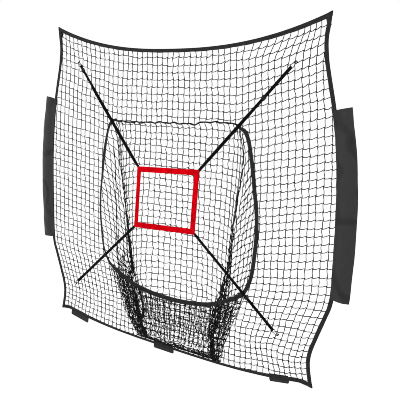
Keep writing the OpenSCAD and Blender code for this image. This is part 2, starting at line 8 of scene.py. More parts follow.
import bmesh
import bpy
import numpy as np
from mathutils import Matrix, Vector


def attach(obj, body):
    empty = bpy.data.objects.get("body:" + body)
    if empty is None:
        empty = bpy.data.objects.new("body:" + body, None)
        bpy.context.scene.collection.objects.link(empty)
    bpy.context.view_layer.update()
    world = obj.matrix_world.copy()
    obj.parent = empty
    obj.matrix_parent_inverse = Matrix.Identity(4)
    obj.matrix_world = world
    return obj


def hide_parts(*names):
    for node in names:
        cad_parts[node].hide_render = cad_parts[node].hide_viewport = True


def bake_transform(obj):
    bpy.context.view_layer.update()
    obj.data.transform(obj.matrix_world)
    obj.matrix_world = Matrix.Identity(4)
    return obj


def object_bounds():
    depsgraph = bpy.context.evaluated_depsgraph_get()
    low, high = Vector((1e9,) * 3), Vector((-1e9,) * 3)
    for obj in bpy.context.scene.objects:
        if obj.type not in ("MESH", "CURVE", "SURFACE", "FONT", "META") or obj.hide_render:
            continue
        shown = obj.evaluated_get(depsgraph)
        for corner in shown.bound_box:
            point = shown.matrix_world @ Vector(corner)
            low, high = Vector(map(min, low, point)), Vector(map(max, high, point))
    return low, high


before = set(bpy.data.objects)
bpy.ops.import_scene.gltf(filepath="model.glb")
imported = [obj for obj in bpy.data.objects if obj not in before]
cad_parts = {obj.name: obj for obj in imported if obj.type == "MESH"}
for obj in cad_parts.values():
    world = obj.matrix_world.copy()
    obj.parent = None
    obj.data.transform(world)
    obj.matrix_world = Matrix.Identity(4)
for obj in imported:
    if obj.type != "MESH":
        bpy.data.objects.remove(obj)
bpy.ops.object.select_all(action="DESELECT")
cad_box = [list(corner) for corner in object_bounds()]
chance = np.random.RandomState(11)


def stray(size, like):
    """A random amount of about size for every number of an array."""
    return chance.normal(0, size, np.shape(like))


EYE = (2.679615, -3.236107, 1.700243)  # where the camera stands

# ---- lines and tables ----


def unit(v):
    return v / np.maximum(np.linalg.norm(v, axis=-1, keepdims=True), 1e-9)


def rounded(points, steps=6):
    """The points of a smooth line through the given ones."""
    p = np.array(points, float)
    q = np.vstack([2 * p[0] - p[1], p, 2 * p[-1] - p[-2]])
    out = []
    for i in range(1, len(q) - 2):
        for t in np.arange(steps) / steps:
            out.append(0.5 * (2 * q[i] + (q[i + 1] - q[i - 1]) * t
                              + (2 * q[i - 1] - 5 * q[i] + 4 * q[i + 1] - q[i + 2]) * t ** 2
                              + (3 * q[i] - q[i - 1] - 3 * q[i + 1] + q[i + 2]) * t ** 3))
    return np.array(out + [p[-1]])


def read(table, value, column=1):
    """What a table gives for a value of its first column, in straight steps between its rows."""
    table = np.asarray(table, float)
    return np.interp(value, table[:, 0], table[:, column])


def ease(low, high, value):
    """0 up to low and 1 from high on, with a soft step between them."""
    t = np.clip((np.asarray(value, float) - low) / (high - low), 0, 1)
    return t * t * (3 - 2 * t)


def distances(points):
    """How far along its line each point lies."""
    return np.r_[0, np.cumsum(np.linalg.norm(np.diff(points, axis=0), axis=1))]


def evenly(line, count):
    """A flat line's points at even steps, and how far along it they lie."""
    gone = distances(line)
    at = np.linspace(0, gone[-1], count)
    return np.c_[np.interp(at, gone, line[:, 0]), np.interp(at, gone, line[:, 1])], at


def inset(line, amount, closed=False):
    """A flat line moved to its left by an amount, in X and Z."""
    p = np.asarray(line, float)
    d = unit(np.roll(p, -1, 0) - np.roll(p, 1, 0) if closed else np.gradient(p, axis=0))
    return p + np.c_[-d[:, 1], d[:, 0]] * np.reshape(amount, (-1, 1))


def inward_of(line):
    """The direction to the left of a flat line at each of its points, in X, Y and Z."""
    d = unit(np.gradient(line, axis=0))
    return np.c_[-d[:, 1], np.zeros(len(d)), d[:, 0]]


def inside(shape, points):
    """Which points lie within a flat closed shape."""
    x, z = points[:, 0][:, None], points[:, 1][:, None]
    a, b = shape, np.roll(shape, -1, 0)
    cross = (a[:, 1] > z) != (b[:, 1] > z)
    rise = np.where(b[:, 1] == a[:, 1], 1, b[:, 1] - a[:, 1])
    at = a[:, 0] + (z - a[:, 1]) * (b[:, 0] - a[:, 0]) / rise
    return (cross & (x < at)).sum(1) % 2 == 1


# ---- outline of the panel, as in the solids ----

PANEL_W, PANEL_H, BOW, TOP_SAG = 1.09, 2.134, 0.107, 0.176
SIDE = rounded([(0, 0), (0.06, -0.22), (0.1, -0.15), (0.15, 0.19), (0.2, 0.56), (0.26, 0.93),
                (0.375, 1), (0.49, 1), (0.585, 0.93), (0.68, 0.75), (0.76, 0.48), (0.84, 0.11),
                (0.885, -0.07), (0.93, -0.15), (0.965, -0.06), (1, 0)])
MOUTH = [(0, 0), (0.2, 0.005), (0.4, 0.019), (0.53, 0.037), (0.66, 0.068), (0.78, 0.101),
         (0.87, 0.137), (0.926, 0.186), (0.963, 0.248), (0.985, 0.331), (1, 0.44), (1, 0.53),
         (0.985, 0.613), (0.963, 0.695), (0.941, 0.778), (0.915, 0.861), (0.882, 0.935),
         (0.838, 0.981), (0.774, 1)]
MOUTH_W, MOUTH_LOW, MOUTH_TOP = 0.68, 0.29, 1.498


def side_x(z):
    return PANEL_W + BOW * read(SIDE, np.clip(np.asarray(z, float) / PANEL_H, 0, 1))


def top_z(x):
    return PANEL_H - TOP_SAG * (1 - np.minimum(np.abs(x) / PANEL_W, 1) ** 2.4)


def bottom_z(x):
    x = np.abs(np.asarray(x, float))
    run = 0.01 * np.maximum(PANEL_W - x, 0) / 0.09
    return np.where(x < 1.0, -0.048 + 0.058 * x ** 3, run)


mouth_half = rounded([(a * MOUTH_W, MOUTH_LOW + b * (MOUTH_TOP - MOUTH_LOW)) for a, b in MOUTH], 5)
mouth_line = np.vstack([(mouth_half * [-1, 1])[::-1], mouth_half[1:]])


def mouth_x(z):
    return np.interp(z, mouth_half[:, 1], mouth_half[:, 0])


def rim_cord_z(x):
    """The cord along the mouth's top sags to the left and wanders a little."""
    x = np.asarray(x, float)
    level = read([(-0.53, 1.484), (-0.45, 1.477), (-0.3, 1.479), (-0.1, 1.488), (0.19, 1.49),
                  (0.25, 1.507), (0.4, 1.511), (0.53, 1.503)], x)
    calm = 1 - 0.5 * ease(0.3, 0.5, x)
    return level + 0.003 * np.sin(x * 57 + 1) * calm + 0.0018 * np.sin(x * 96)


across = np.linspace(-PANEL_W, PANEL_W, 110)
up = np.linspace(0, PANEL_H, 110)
low_line = np.c_[across, bottom_z(across)]
right_line = np.c_[side_x(up), up]
top_line = np.c_[across, top_z(across)][::-1]
left_line = (right_line * [-1, 1])[::-1]
outline = np.vstack([low_line[:-1], right_line[:-1], top_line[:-1], left_line[:-1]])
panel_shape = inset(outline, 0.012, closed=True)
top_of_mouth = np.linspace(0.51, -0.51, 60)
mouth_shape = np.vstack([inset(mouth_line, 0.012), np.c_[top_of_mouth, rim_cord_z(top_of_mouth)]])

# ---- finishes ----


def feed(socket, value):
    """Sets an input to a value or a colour, or links it to the output that the value is."""
    if isinstance(value, bpy.types.NodeSocket):
        socket.id_data.links.new(value, socket)
    else:
        socket.default_value = (*value, 1) if socket.type == "RGBA" else value


def node(tree, kind, **values):
    """A node of a kind, with its settings and what feeds its inputs."""
    n = tree.nodes.new("ShaderNode" + kind)
    for key, value in values.items():
        if hasattr(n, key):
            setattr(n, key, value)
        else:
            feed(n.inputs[key.replace("_", " ")], value)
    return n


def maths(operation, a, b):
    n = node(a.id_data, "Math", operation=operation)
    feed(n.inputs[0], a)
    feed(n.inputs[1], b)
    return n.outputs[0]


def mixed(factor, a, b):
    """A colour between a and b; each is a colour or a socket."""
    n = node(factor.id_data, "Mix", data_type="RGBA")
    for index, value in ((0, factor), (6, a), (7, b)):
        feed(n.inputs[index], value)
    return n.outputs[2]


def shade(colour, share):
    return tuple(min(c * share, 1) for c in colour)


def ramp(source, low, high, to_low=0.0, to_high=1.0):
    """The source's values from low to high, spread from to_low to to_high."""
    return node(source.id_data, "MapRange", Value=source, From_Min=low, From_Max=high, To_Min=to_low,
                To_Max=to_high).outputs["Result"]


def scaled(place, scale):
    return node(place.id_data, "Mapping", Vector=place, Scale=scale).outputs["Vector"]


def waves(place, size, direction, twist=0.0):
    """Ridges that repeat every size metres along one axis of place."""
    return node(place.id_data, "TexWave", bands_direction=direction, Scale=0.314159, Distortion=twist,
                Detail=1.0, Detail_Scale=2.0, Vector=scaled(place, (1 / size,) * 3)).outputs["Fac"]


def specks(place, size, detail=3.0, stretch=(1, 1, 1)):
    return node(place.id_data, "TexNoise", Scale=1.0, Detail=detail,
                Vector=scaled(place, tuple(s / size for s in stretch))).outputs["Fac"]


def dress(m, *layers, **values):
    """Feeds a finish's shader, and gives it relief in layers, one over another: each has its
    height, strength and depth."""
    inputs = m.node_tree.nodes["Principled BSDF"].inputs
    below = None
    for height, strength, depth in layers:
        n = node(m.node_tree, "Bump", Height=height, Strength=strength, Distance=depth)
        if below:
            feed(n.inputs["Normal"], below)
        below = n.outputs["Normal"]
        feed(inputs["Normal"], below)
    for key, value in values.items():
        feed(inputs[key.replace("_", " ")], value)
    return m


def finish_of(name, colour, roughness, sheen=0.0, gloss=0.12):
    """A plain finish, and the UV and own space of the pieces that wear it."""
    m = bpy.data.materials.new(name)
    m.use_nodes = True
    dress(m, Base_Color=colour, Roughness=roughness, Sheen_Weight=sheen, Sheen_Roughness=0.5,
          Specular_IOR_Level=gloss)
    places = node(m.node_tree, "TexCoord").outputs
    return m, places["UV"], places["Object"]


def woven(name, colour, rib, thread, roughness=0.8, sheen=0.06, worn=1.5, gloss=0.1):
    """Webbing or tape: ribs across, threads along, on the piece's own UV in metres."""
    m, uv, place = finish_of(name, colour, roughness, sheen, gloss)
    weave = maths("MULTIPLY", waves(uv, rib, "Y", 0.4), waves(uv, thread, "X", 0.3))
    cloth = mixed(weave, shade(colour, 0.55), shade(colour, worn))
    patches = ramp(specks(place, 0.035), 0.35, 0.75)
    return dress(m, (specks(place, 0.0009, 2.0), 0.25, 0.0002), (weave, 0.8, 0.0003),
                 Base_Color=mixed(patches, cloth, shade(colour, 1.25)))


def laid_cord(name, colour, pitch, roughness=0.75, strands=2.0):
    """Twisted cord: strands wind round it once a pitch; UV runs round it and along it."""
    m, uv, place = finish_of(name, colour, roughness, 0.05)
    lay = node(m.node_tree, "TexWave", bands_direction="DIAGONAL", Scale=1.0, Distortion=0.3,
               Vector=scaled(uv, (0.6283 * strands, 0.6283 / pitch, 0))).outputs["Fac"]
    tint = mixed(lay, shade(colour, 0.5), shade(colour, 1.9))
    dust = ramp(specks(place, 0.02), 0.45, 0.8)
    return dress(m, (specks(place, 0.0006, 2.0), 0.3, 0.0002), (lay, 0.7, 0.0004),
                 Base_Color=mixed(dust, tint, shade(colour, 1.8)))


def sleeve_cloth(name, colour):
    """Coated nylon: a fine plain weave, slightly uneven, with soft creases whose shade is painted dark into
    the colour.
    """
    m, uv, place = finish_of(name, colour, 0.55, 0.08, 0.35)
    weave = maths("MULTIPLY", waves(uv, 0.0011, "X", 0.2), waves(uv, 0.0011, "Y", 0.2))
    cloth = mixed(weave, shade(colour, 0.8), shade(colour, 1.2))
    cloud = ramp(specks(place, 0.09, 4.0, (1, 1, 0.6)), 0.35, 0.7)
    rubbed = mixed(cloud, cloth, shade(colour, 1.5))
    # Painted shade: the low parts of the creases darken the colour as well as giving relief.
    crease_with_painted_shade = ramp(waves(place, 0.19, "DIAGONAL", 9.0), 0.0, 0.35)
    return dress(m, (crease_with_painted_shade, 0.7, 0.006), (weave, 0.4, 0.0002),
                 Base_Color=mixed(crease_with_painted_shade, shade(colour, 0.3), rubbed),
                 Roughness=ramp(cloud, 0, 1, 0.52, 0.72))


def moulded(name, colour, roughness):
    """Grained plastic or vinyl with a few pale scuffs."""
    m, _, place = finish_of(name, colour, roughness, gloss=0.4)
    grain = specks(place, 0.0008, 4.0)
    scuffs = ramp(specks(place, 0.006, 5.0, (1, 1, 3)), 0.5, 0.8)
    return dress(m, (grain, 0.25, 0.0001), Base_Color=mixed(scuffs, colour, shade(colour, 2.6)),
                 Roughness=ramp(grain, 0, 1, roughness - 0.08, roughness + 0.12))


def oxide_wire(name):
    """Black oxide on steel wire: nearly black, duller in patches, drawn along its length."""
    m, uv, place = finish_of(name, (0.03, 0.03, 0.032), 0.45)
    dull = ramp(specks(place, 0.005, 4.0), 0.4, 0.75)
    return dress(m, (specks(uv, 0.004, 3.0, (8, 1, 1)), 0.2, 0.0001),
                 Base_Color=mixed(dull, (0.035, 0.035, 0.037), (0.018, 0.018, 0.018)),
                 Roughness=ramp(dull, 0, 1, 0.22, 0.5))


def gripping_tape(name, colour, size, hooks):
    """Hook tape has rows of small stiff points, loop tape a matted pile."""
    m, uv, place = finish_of(name, colour, *((0.55, 0.0) if hooks else (0.95, 0.6)))
    points = maths("MULTIPLY", waves(uv, size, "X"), waves(uv, size, "Y"))
    pile = points if hooks else specks(place, size, 5.0)
    return dress(m, (pile, 1.0, 0.0008), Base_Color=mixed(pile, shade(colour, 0.4), shade(colour, 2.2)))


net_finish = laid_cord("net twine", (0.006, 0.006, 0.007), 0.006)
pocket_finish = laid_cord("pocket twine", (0.0045, 0.0045, 0.0055), 0.006)
binding_finish = woven("binding tape", (0.026, 0.026, 0.028), 0.0022, 0.0012, 0.85, 0.04)
rim_finish = woven("rim webbing", (0.02, 0.02, 0.022), 0.0026, 0.0014)
cord_finish = laid_cord("rim cord", (0.005, 0.005, 0.006), 0.012, 0.7, 4.0)
sleeve_finish = sleeve_cloth("sleeve nylon", (0.0155, 0.0155, 0.017))
corner_finish = sleeve_cloth("corner pocket nylon", (0.022, 0.022, 0.024))
red_finish = woven("red webbing", (0.78, 0.0, 0.006), 0.0028, 0.0015, 0.8, 0.0, 1.15, 0.02)
strap_finish = woven("black webbing", (0.003, 0.003, 0.0035), 0.0024, 0.0013, 0.75, 0.0, 2.0, 0.05)
tab_finish = woven("tab webbing", (0.036, 0.036, 0.038), 0.0026, 0.0014)
plastic_finish = moulded("slider plastic", (0.006, 0.006, 0.007), 0.45)
vinyl_finish = moulded("dipped vinyl", (0.004, 0.004, 0.0045), 0.6)
wire_finish = oxide_wire("black oxide wire")
hook_tape_finish = gripping_tape("hook tape", (0.012, 0.012, 0.013), 0.0016, True)
loop_tape_finish = gripping_tape("loop tape", (0.02, 0.02, 0.021), 0.0012, False)
thread_finish = laid_cord("grey thread", (0.06, 0.06, 0.064), 0.002)
red_thread_finish = laid_cord("red thread", (0.55, 0.006, 0.012), 0.002)

# ---- making meshes: each is its points, its faces and a UV for every corner of a face ----


def piece(name, slot, finish, *meshes, body="panel", nodes=(), outward=True):
    """Meshes as one piece that rides on a body; outward turns its faces the right way out."""
    verts, faces, uv = together(*meshes)
    data = bpy.data.meshes.new(name)
    data.from_pydata([tuple(v) for v in verts], [], faces)
    data.uv_layers.new(name="UVMap").data.foreach_set("uv", np.asarray(uv, np.float32).ravel())
    data.polygons.foreach_set("use_smooth", [True] * len(data.polygons))
    data.materials.append(finish)
    obj = bpy.data.objects.new(name, data)
    bpy.context.scene.collection.objects.link(obj)
    if body:
        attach(obj, body)
    if nodes:
        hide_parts(*nodes)
    if outward:
        edit = bmesh.new()
        edit.from_mesh(data)
        bmesh.ops.recalc_face_normals(edit, faces=edit.faces)
        edit.to_mesh(data)
        edit.free()
    return obj


def applied(obj, kind, **settings):
    """Puts a modifier on an object's mesh for good."""
    modifier = obj.modifiers.new(kind, kind)
    for key, value in settings.items():
        setattr(modifier, key, value)
    bpy.context.view_layer.objects.active = obj
    bpy.ops.object.modifier_apply(modifier=kind)


def together(*parts):
    """Several meshes as one."""
    faces, n = [], 0
    for verts, part, _ in parts:
        faces += [[i + n for i in face] for face in part]
        n += len(verts)
    return np.vstack([part[0] for part in parts]), faces, np.vstack([part[2] for part in parts])


def quads(us, gone, closed=True):
    """Faces between rings of points, and their UV: us is the places round each ring, gone how far
    along each ring lies. A closed ring has one place more than it has points."""
    m = us.shape[1] - closed
    i, k = np.mgrid[:len(gone) - 1, :us.shape[1] - 1]
    j = (k + 1) % m
    faces = np.stack([i * m + k, i * m + j, (i + 1) * m + j, (i + 1) * m + k], -1).reshape(-1, 4)
    a, b, g, h = us[i, k], us[i, k + 1], gone[i], gone[i + 1]
    return faces, np.stack([a, g, b, g, b, h, a, h], -1).reshape(-1, 4, 2)


def lofted(verts, us, gone, ends=0):
    """A closed mesh through rings of points; its end faces have their ring's UV times ends."""
    n, m = verts.shape[:2]
    us = np.broadcast_to(us, (n, m + 1))
    faces, uv = quads(us, gone)
    order = np.arange(m)
    caps = [np.c_[us[0, order[::-1]], np.full(m, gone[0])] * ends,
            np.c_[us[-1, order], np.full(m, gone[-1])] * ends]
    faces = faces.tolist() + [order[::-1].tolist(), (order + (n - 1) * m).tolist()]
    return verts.reshape(-1, 3), faces, np.vstack([uv.reshape(-1, 2), *caps])


def circle(sides):
    a = np.arange(sides) * 2 * math.pi / sides
    return np.cos(a)[:, None], np.sin(a)[:, None]


def ring_round(along, side, sides):
    """Points of a ring of radius 1 about each direction along; side points to the first."""
    cs, sn = circle(sides)
    return side[:, None] * cs + np.cross(along, side)[:, None] * sn


OBLIQUE = [0.11, 0.97, 0.21]  # a direction that no twine or cord runs in
TWINE_R, KNOT = 0.0023, (0.0043, 0.0034, 0.005)


def twine(lines, radius=TWINE_R):
    """Short lengths of twine, five-sided: every line has the same number of points."""
    sides = 5
    p = np.asarray(lines, float)
    length = np.linalg.norm(p[:, -1] - p[:, 0], axis=1)
    p, length = p[length > 1e-4], length[length > 1e-4]
    count, rings = p.shape[:2]
    d = (p[:, -1] - p[:, 0]) / length[:, None]
    ring = ring_round(d, unit(np.cross(d, OBLIQUE)), sides)
    verts = p[:, :, None] + ring[:, None] * radius
    us = np.broadcast_to(np.arange(sides + 1) / sides, (rings, sides + 1))
    faces, uv = quads(us, np.linspace(0, 1, rings))
    uv = uv * np.stack([np.ones(count), length], -1)[:, None, None]
    base = np.arange(count)[:, None] * rings * sides
    first, last = np.arange(sides)[::-1], np.arange(sides) + (rings - 1) * sides
    faces = (base[..., None] + faces).reshape(-1, 4).tolist()
    caps = np.vstack([base + first, base + last])
    uv = np.vstack([uv.reshape(-1, 2), np.zeros((caps.size, 2))])
    return verts.reshape(-1, 3), faces + caps.tolist(), uv


def copies(verts, tri, corners):
    """Many small shapes as one mesh: verts has the points of each, tri the faces of one, and
    corners the UV of a face."""
    faces = (np.arange(len(verts))[:, None, None] * verts.shape[1] + tri).reshape(-1, 3)
    return verts.reshape(-1, 3), faces.tolist(), np.tile(corners, (len(faces), 1))


def knots(spots):
    """Small bead-like knots, each two rings of six between two ends."""
    c = np.asarray(spots, float)
    a = np.arange(6) * math.pi / 3
    rings = [np.c_[0.82 * np.cos(a + turn), 0.82 * np.sin(a + turn), np.full(6, z)]
             for turn, z in ((0, 0.5), (0.5, -0.5))]
    shape = np.vstack([[0, 0, 1], *rings, [0, 0, -1]]) * KNOT
    turn = 0.5 + chance.uniform(-0.35, 0.35, len(c))
    cs, sn = np.cos(turn)[:, None], np.sin(turn)[:, None]
    x = shape[:, 0] * cs + shape[:, 2] * sn
    z = -shape[:, 0] * sn + shape[:, 2] * cs
    grow = chance.uniform(0.85, 1.15, len(c))[:, None, None]
    verts = c[:, None] + np.stack([x, np.broadcast_to(shape[:, 1], x.shape), z], -1) * grow
    k = np.arange(6)
    n = (k + 1) % 6
    tri = np.vstack([np.c_[0 * k, 1 + k, 1 + n], np.c_[1 + k, 7 + k, 1 + n],
                     np.c_[1 + n, 7 + k, 7 + n], np.c_[7 + k, 0 * k + 13, 7 + n]])
    return copies(verts, tri, [[0, 0], [0.5, 0], [0.5, 0.003]])


def strip(centre, side, width, thick, pucker=None):
    """A flat woven strip with soft edges along centre; side points over its width, and pucker
    moves its two faces apart at each point of centre."""
    c = np.asarray(centre, float)
    side = unit(np.broadcast_to(side, c.shape).astype(float))
    face = unit(np.cross(unit(np.gradient(c, axis=0)), side))
    w = np.broadcast_to(width, len(c))[:, None]
    u = np.array([-0.5, -0.47, -0.36, -0.18, 0, 0.18, 0.36, 0.47, 0.5])
    h = np.array([0.225, 0.44, 0.5, 0.5, 0.5, 0.5, 0.5, 0.44, 0.225])
    su, sh = np.r_[u, u[::-1]], np.r_[h, -h[::-1]]
    verts = c[:, None] + side[:, None] * (w * su)[..., None] + face[:, None] * (thick * sh)[:, None]
    if pucker is not None:
        verts[..., 1] += np.sign(sh) * (np.abs(su) < 0.4) * pucker[:, None]
    return lofted(verts, w * np.r_[su, su[0]], distances(c), 1)


STITCH = np.array([(-1, 0, -1), (-0.5, 1, 0), (-0.5, 0, 1), (-0.5, -1, 0), (0.5, 1, 0), (0.5, 0, 1),
                   (0.5, -1, 0), (1, 0, -1)])  # along, to the side and out of the cloth
STITCH_FACES = np.array([(0, 1, 2), (0, 2, 3), (1, 4, 2), (4, 5, 2), (2, 5, 6), (2, 6, 3), (4, 7, 5),
                         (5, 7, 6), (0, 3, 1), (1, 3, 4), (3, 6, 4), (4, 6, 7)])


def stitches(points, side, out, pitch=0.006, length=0.0042, radius=0.0006):
    """A row of small stitches laid on a line, standing a little out of the cloth."""
    p = np.asarray(points, float)
    gone = distances(p)
    at = np.arange(pitch, gone[-1] - pitch / 2, pitch)

    def pick(values):
        values = np.broadcast_to(values, p.shape)
        return np.stack([np.interp(at, gone, values[:, i]) for i in range(3)], -1)

    c, s, o = pick(p), unit(pick(side)), unit(pick(out))
    d = unit(np.cross(s, o))
    verts = np.stack([c + d * (length / 2) * a + s * radius * b + o * radius * e for a, b, e in STITCH], 1)
    return copies(verts, STITCH_FACES, [[0, 0], [0.3, 0.001], [0.6, 0.004]])


def tube(points, radius, sides):
    """One round length of cord or wire through the points, closed at its ends."""
    p = np.asarray(points, float)
    d = unit(np.gradient(p, axis=0))
    side = [unit(np.cross(d[0], OBLIQUE))]
    for ahead in d[1:]:
        side.append(unit(side[-1] - ahead * (side[-1] @ ahead)))
    verts = p[:, None] + ring_round(d, np.array(side), sides) * np.broadcast_to(radius, len(p))[:, None, None]
    return lofted(verts, np.arange(sides + 1) / sides, distances(p))


# ---- front netting ----

PITCH_X, PITCH_Z, LOW_PITCH_Z = 0.0455, 0.0462, 0.0395
ROW_TOP = 1.946
LIFT = [(-0.05, 0.02), (0.15, 0.08), (0.4, 0.13), (0.6, 0.19), (0.8, 0.2), (1.3, 0.2), (1.5, 0.24),
        (1.7, 0.27), (2.0, 0.27)]
LEAN = [(0.1, 1.0), (0.45, 1.0), (0.75, 0.65), (1.3, 0.45), (2, 0.4)]
FLAT = 0.4  # how much of its wandering in depth the front twine keeps between its knots


def row_rise(x, r):
    """How far the row that is at height r in the middle rises at x."""
    a = np.abs(x)
    out = a - 0.5
    out = (out + np.sqrt(out ** 2 + 0.0009)) / 2
    slope = read(LIFT, r) * np.where((x < 0) & (r < 1.35), 0.82, 1.0)
    high = ease(1.55, 1.944, r)
    low = 1 - ease(-0.034, 0.3, r)
    return ((1 - high) * (1 - low) * slope * out + high * TOP_SAG * (a / PANEL_W) ** 2.4
            + low * 0.058 * np.minimum(a, 1.05) ** 3)


def column_x(x, z):
    """Where the column that is at x in the panel's middle height runs at height z."""
    a = np.abs(x)
    lean = read(LEAN, z) * (side_x(z) - 1.19) * np.minimum(a / 1.1, 1.05) ** 1.2
    fan = ease(1.86, 2.05, z) * ease(0.4, 0.7, a) * (1 - 0.7 * ease(0.85, 1.1, a))
    return np.sign(x) * (a + lean + fan * np.where(x > 0, 0.062, 0.018))


row_heights = [ROW_TOP]
while row_heights[-1] > -0.07:
    row_heights.append(row_heights[-1] - (PITCH_Z if row_heights[-1] > 0.6 else LOW_PITCH_Z))
cx, cz = np.meshgrid(np.arange(-26, 27) * PITCH_X, row_heights)
gx = cx
for turn in range(4):
    gz = cz + row_rise(gx, cz)
    gx = column_x(cx, gz)
loose = 0.0016 + 0.001 * (np.abs(gx) < 0.5)
slack = 0.002 + 0.004 * (1 - ease(0.15, 0.5, gz)) * ease(0.3, 0.7, gx)
gx = gx + slack * np.sin(gz * 23 + gx * 9) * ease(1.1, 0.95, np.abs(gx))
gz = gz + slack * np.sin(gx * 19 - gz * 11 + 1)
gx = gx + stray(1, gx) * loose
gz = gz + stray(1, gz) * loose
front_grid = np.stack([gx, stray(0.0005, gx), gz], -1)


def on_field(points):
    """True for the points of the panel's netting: within its edges and outside the mouth."""
    p = points[:, [0, 2]]
    return inside(panel_shape, p) & ~inside(mouth_shape, p)


def clear_of_hems(p, side=0.024, top=0.024, bottom=0.016):
    """True for the points that no binding along the panel's edges covers."""
    return ((np.abs(p[:, 0]) < side_x(p[:, 2]) - side) & (p[:, 2] < top_z(p[:, 0]) - top)
            & (p[:, 2] > bottom_z(p[:, 0]) + bottom))


def clipped(lines, test):
    """Cuts each length where it leaves the net's field, and drops what is outside."""
    first, last = test(lines[:, 0]), test(lines[:, -1])
    at = np.linspace(0, 1, lines.shape[1])
    out = [lines[first & last]]
    for leaving in (lines[first & ~last], lines[~first & last][:, ::-1]):
        def point(t):
            return np.array([[np.interp(t[i], at, q[:, k]) for k in range(3)]
                             for i, q in enumerate(leaving)]).reshape(-1, 3)

        low, high = np.zeros(len(leaving)), np.ones(len(leaving))
        for _ in range(9):  # each time halves the stretch that holds the edge
            mid = (low + high) / 2
            good = test(point(mid))
            low, high = np.where(good, mid, low), np.where(good, high, mid)
        out.append(np.stack([point(low * share) for share in at], 1))
    return np.vstack(out)


def bent(a, b, wobble, hang=0.0):
    """Lengths of twine from a to b whose middles stray a little, and hang."""
    return np.stack([a, (a + b) / 2 + stray(wobble, a) - [0, 0, hang], b], -2)


def jogged(grid, sag=0.0022, wobble=0.0012):
    """Lengths of twine between the knots of a grid, first along its rows, then along its
    columns: each knot turns the twine a little."""
    lines = []
    for a, b, jog, hang in ((grid[:, :-1], grid[:, 1:], 0.0022, sag), (grid[:-1], grid[1:], -0.0022, 0)):
        step = np.array([jog, 0, -0.0034])
        lines.append(bent(a + step, b - step, wobble, hang).reshape(-1, 3, 3))
    return np.vstack(lines)


front_lines = jogged(front_grid)
front_lines[:, 1, 1] *= FLAT
line_row = np.r_[cz[:, :-1].ravel(), ((cz[:-1] + cz[1:]) / 2).ravel()]
front_knots = front_grid.reshape(-1, 3)
HIGH_CUT, LOW_CUT = 1.5, 0.41  # the heights at which the panel's netting is divided, as in the solids
ZONES = {"netting_top": lambda x, r: r > HIGH_CUT, "netting_bottom": lambda x, r: r < LOW_CUT,
         "netting_left": lambda x, r: (r <= HIGH_CUT) & (r >= LOW_CUT) & (x < 0),
         "netting_right": lambda x, r: (r <= HIGH_CUT) & (r >= LOW_CUT) & (x >= 0)}
for name, zone in ZONES.items():
    lines = clipped(front_lines[zone(front_lines[:, 1, 0], line_row)], on_field)
    spots = front_knots[zone(front_knots[:, 0], cz.ravel())]
    spots = spots[on_field(spots) & clear_of_hems(spots)]
    piece(name + "_knotted", "net_cord", net_finish, twine(lines), knots(spots), nodes=[name], outward=False)

# ---- pocket netting ----

GATHER_W, GATHER_TOP, GATHER_LOW = 0.425, 0.0463, -0.025
CREASE_W, RIM_Y, POCKET_DEPTH = 0.526, 0.0028, 0.16
LEAST_Y, CLEAR_Y = 0.0045, 0.0047  # depths that keep the pocket and its twine behind the panel's
# Share of the way down, crease offset in millimetres, crease depth share, middle depth share.
POCKET = [(0, 4, 0, 0), (0.04, 8, 0.12, 0.2), (0.1, 9, 0.3, 0.42), (0.2, -2, 0.4, 0.62),
          (0.32, -36, 0.45, 0.78), (0.46, -71, 0.48, 0.9), (0.6, -96, 0.51, 0.97),
          (0.72, -126, 0.54, 1), (0.82, -166, 0.58, 1), (0.9, -196, 0.6, 0.93),
          (0.96, -222, 0.5, 0.62), (1, -246, 0.06, 0.07)]
share, offset, crease_share, belly_share = np.array(POCKET).T
pocket_heights = MOUTH_TOP - 0.004 - share * (MOUTH_TOP - 0.004 - GATHER_TOP)
down = rounded(np.c_[pocket_heights, CREASE_W + offset / 1000, RIM_Y + POCKET_DEPTH * crease_share,
                     RIM_Y + POCKET_DEPTH * belly_share], 5)[::-1]
skirt_x, skirt_z = MOUTH_W * MOUTH[6][0], MOUTH_LOW + MOUTH[6][1] * (MOUTH_TOP - MOUTH_LOW)
# The left crease hangs a little further out than in the solids, the right one further in.
LEFT_OUT = [(0, 0), (0.3, 0.018), (0.5, 0.03), (0.85, 0.028), (1.1, 0.018), (1.3, 0.01), (1.47, 0)]
RIGHT_IN = [(0.3, 0), (0.5, 0), (0.7, 0.005), (0.9, 0.011), (1.1, 0.014), (1.4, 0.006), (1.49, 0)]
LEFT_EDGE = [(-0.03, 0.27), (0, 0.31), (0.04, 0.36), (0.1, 0.41), (0.17, 0.45), (0.24, 0.485),
             (0.31, 0.52), (0.4, 0.56), (0.4555, 0.588)]
BACK_PITCH = 0.046


def crease_x(z, sign):
    return read(down, z, 1) + np.where(np.asarray(sign) < 0, read(LEFT_OUT, z), -read(RIGHT_IN, z))


def crease_y(z):
    return np.maximum(read(down, z, 2), LEAST_Y)


def belly_y(z):
    return np.maximum(read(down, z, 3), LEAST_Y)


def front_x(z, sign=1):
    """The outer edge of the pocket's side: the mouth's edge above, the skirt's edge below."""
    low = GATHER_W + (skirt_x - GATHER_W) * (z - GATHER_TOP) / (skirt_z - GATHER_TOP)
    edge = np.where(z >= skirt_z, mouth_x(np.minimum(z, MOUTH_TOP - 0.002)) - 0.004, low)
    return np.where((np.asarray(sign) < 0) & (z < skirt_z), read(LEFT_EDGE, z), edge)


def back_y(x, z):
    """The depth of the pocket's back, which bellies out between its two creases."""
    u = np.clip(np.abs(x) / crease_x(z, np.sign(x)), 0, 1)
    return crease_y(z) + (belly_y(z) - crease_y(z)) * (1 - u ** 2) + 0.0012


def side_y(x, z):
    """The depth of the pocket's side, from the crease forward to the mouth's edge."""
    c, f = crease_x(z, np.sign(x)), front_x(z, np.sign(x))
    w = np.clip((np.abs(x) - c) / np.maximum(f - c, 0.004), 0, 1)
    return crease_y(z) + (0.0035 - crease_y(z)) * w + 0.0012


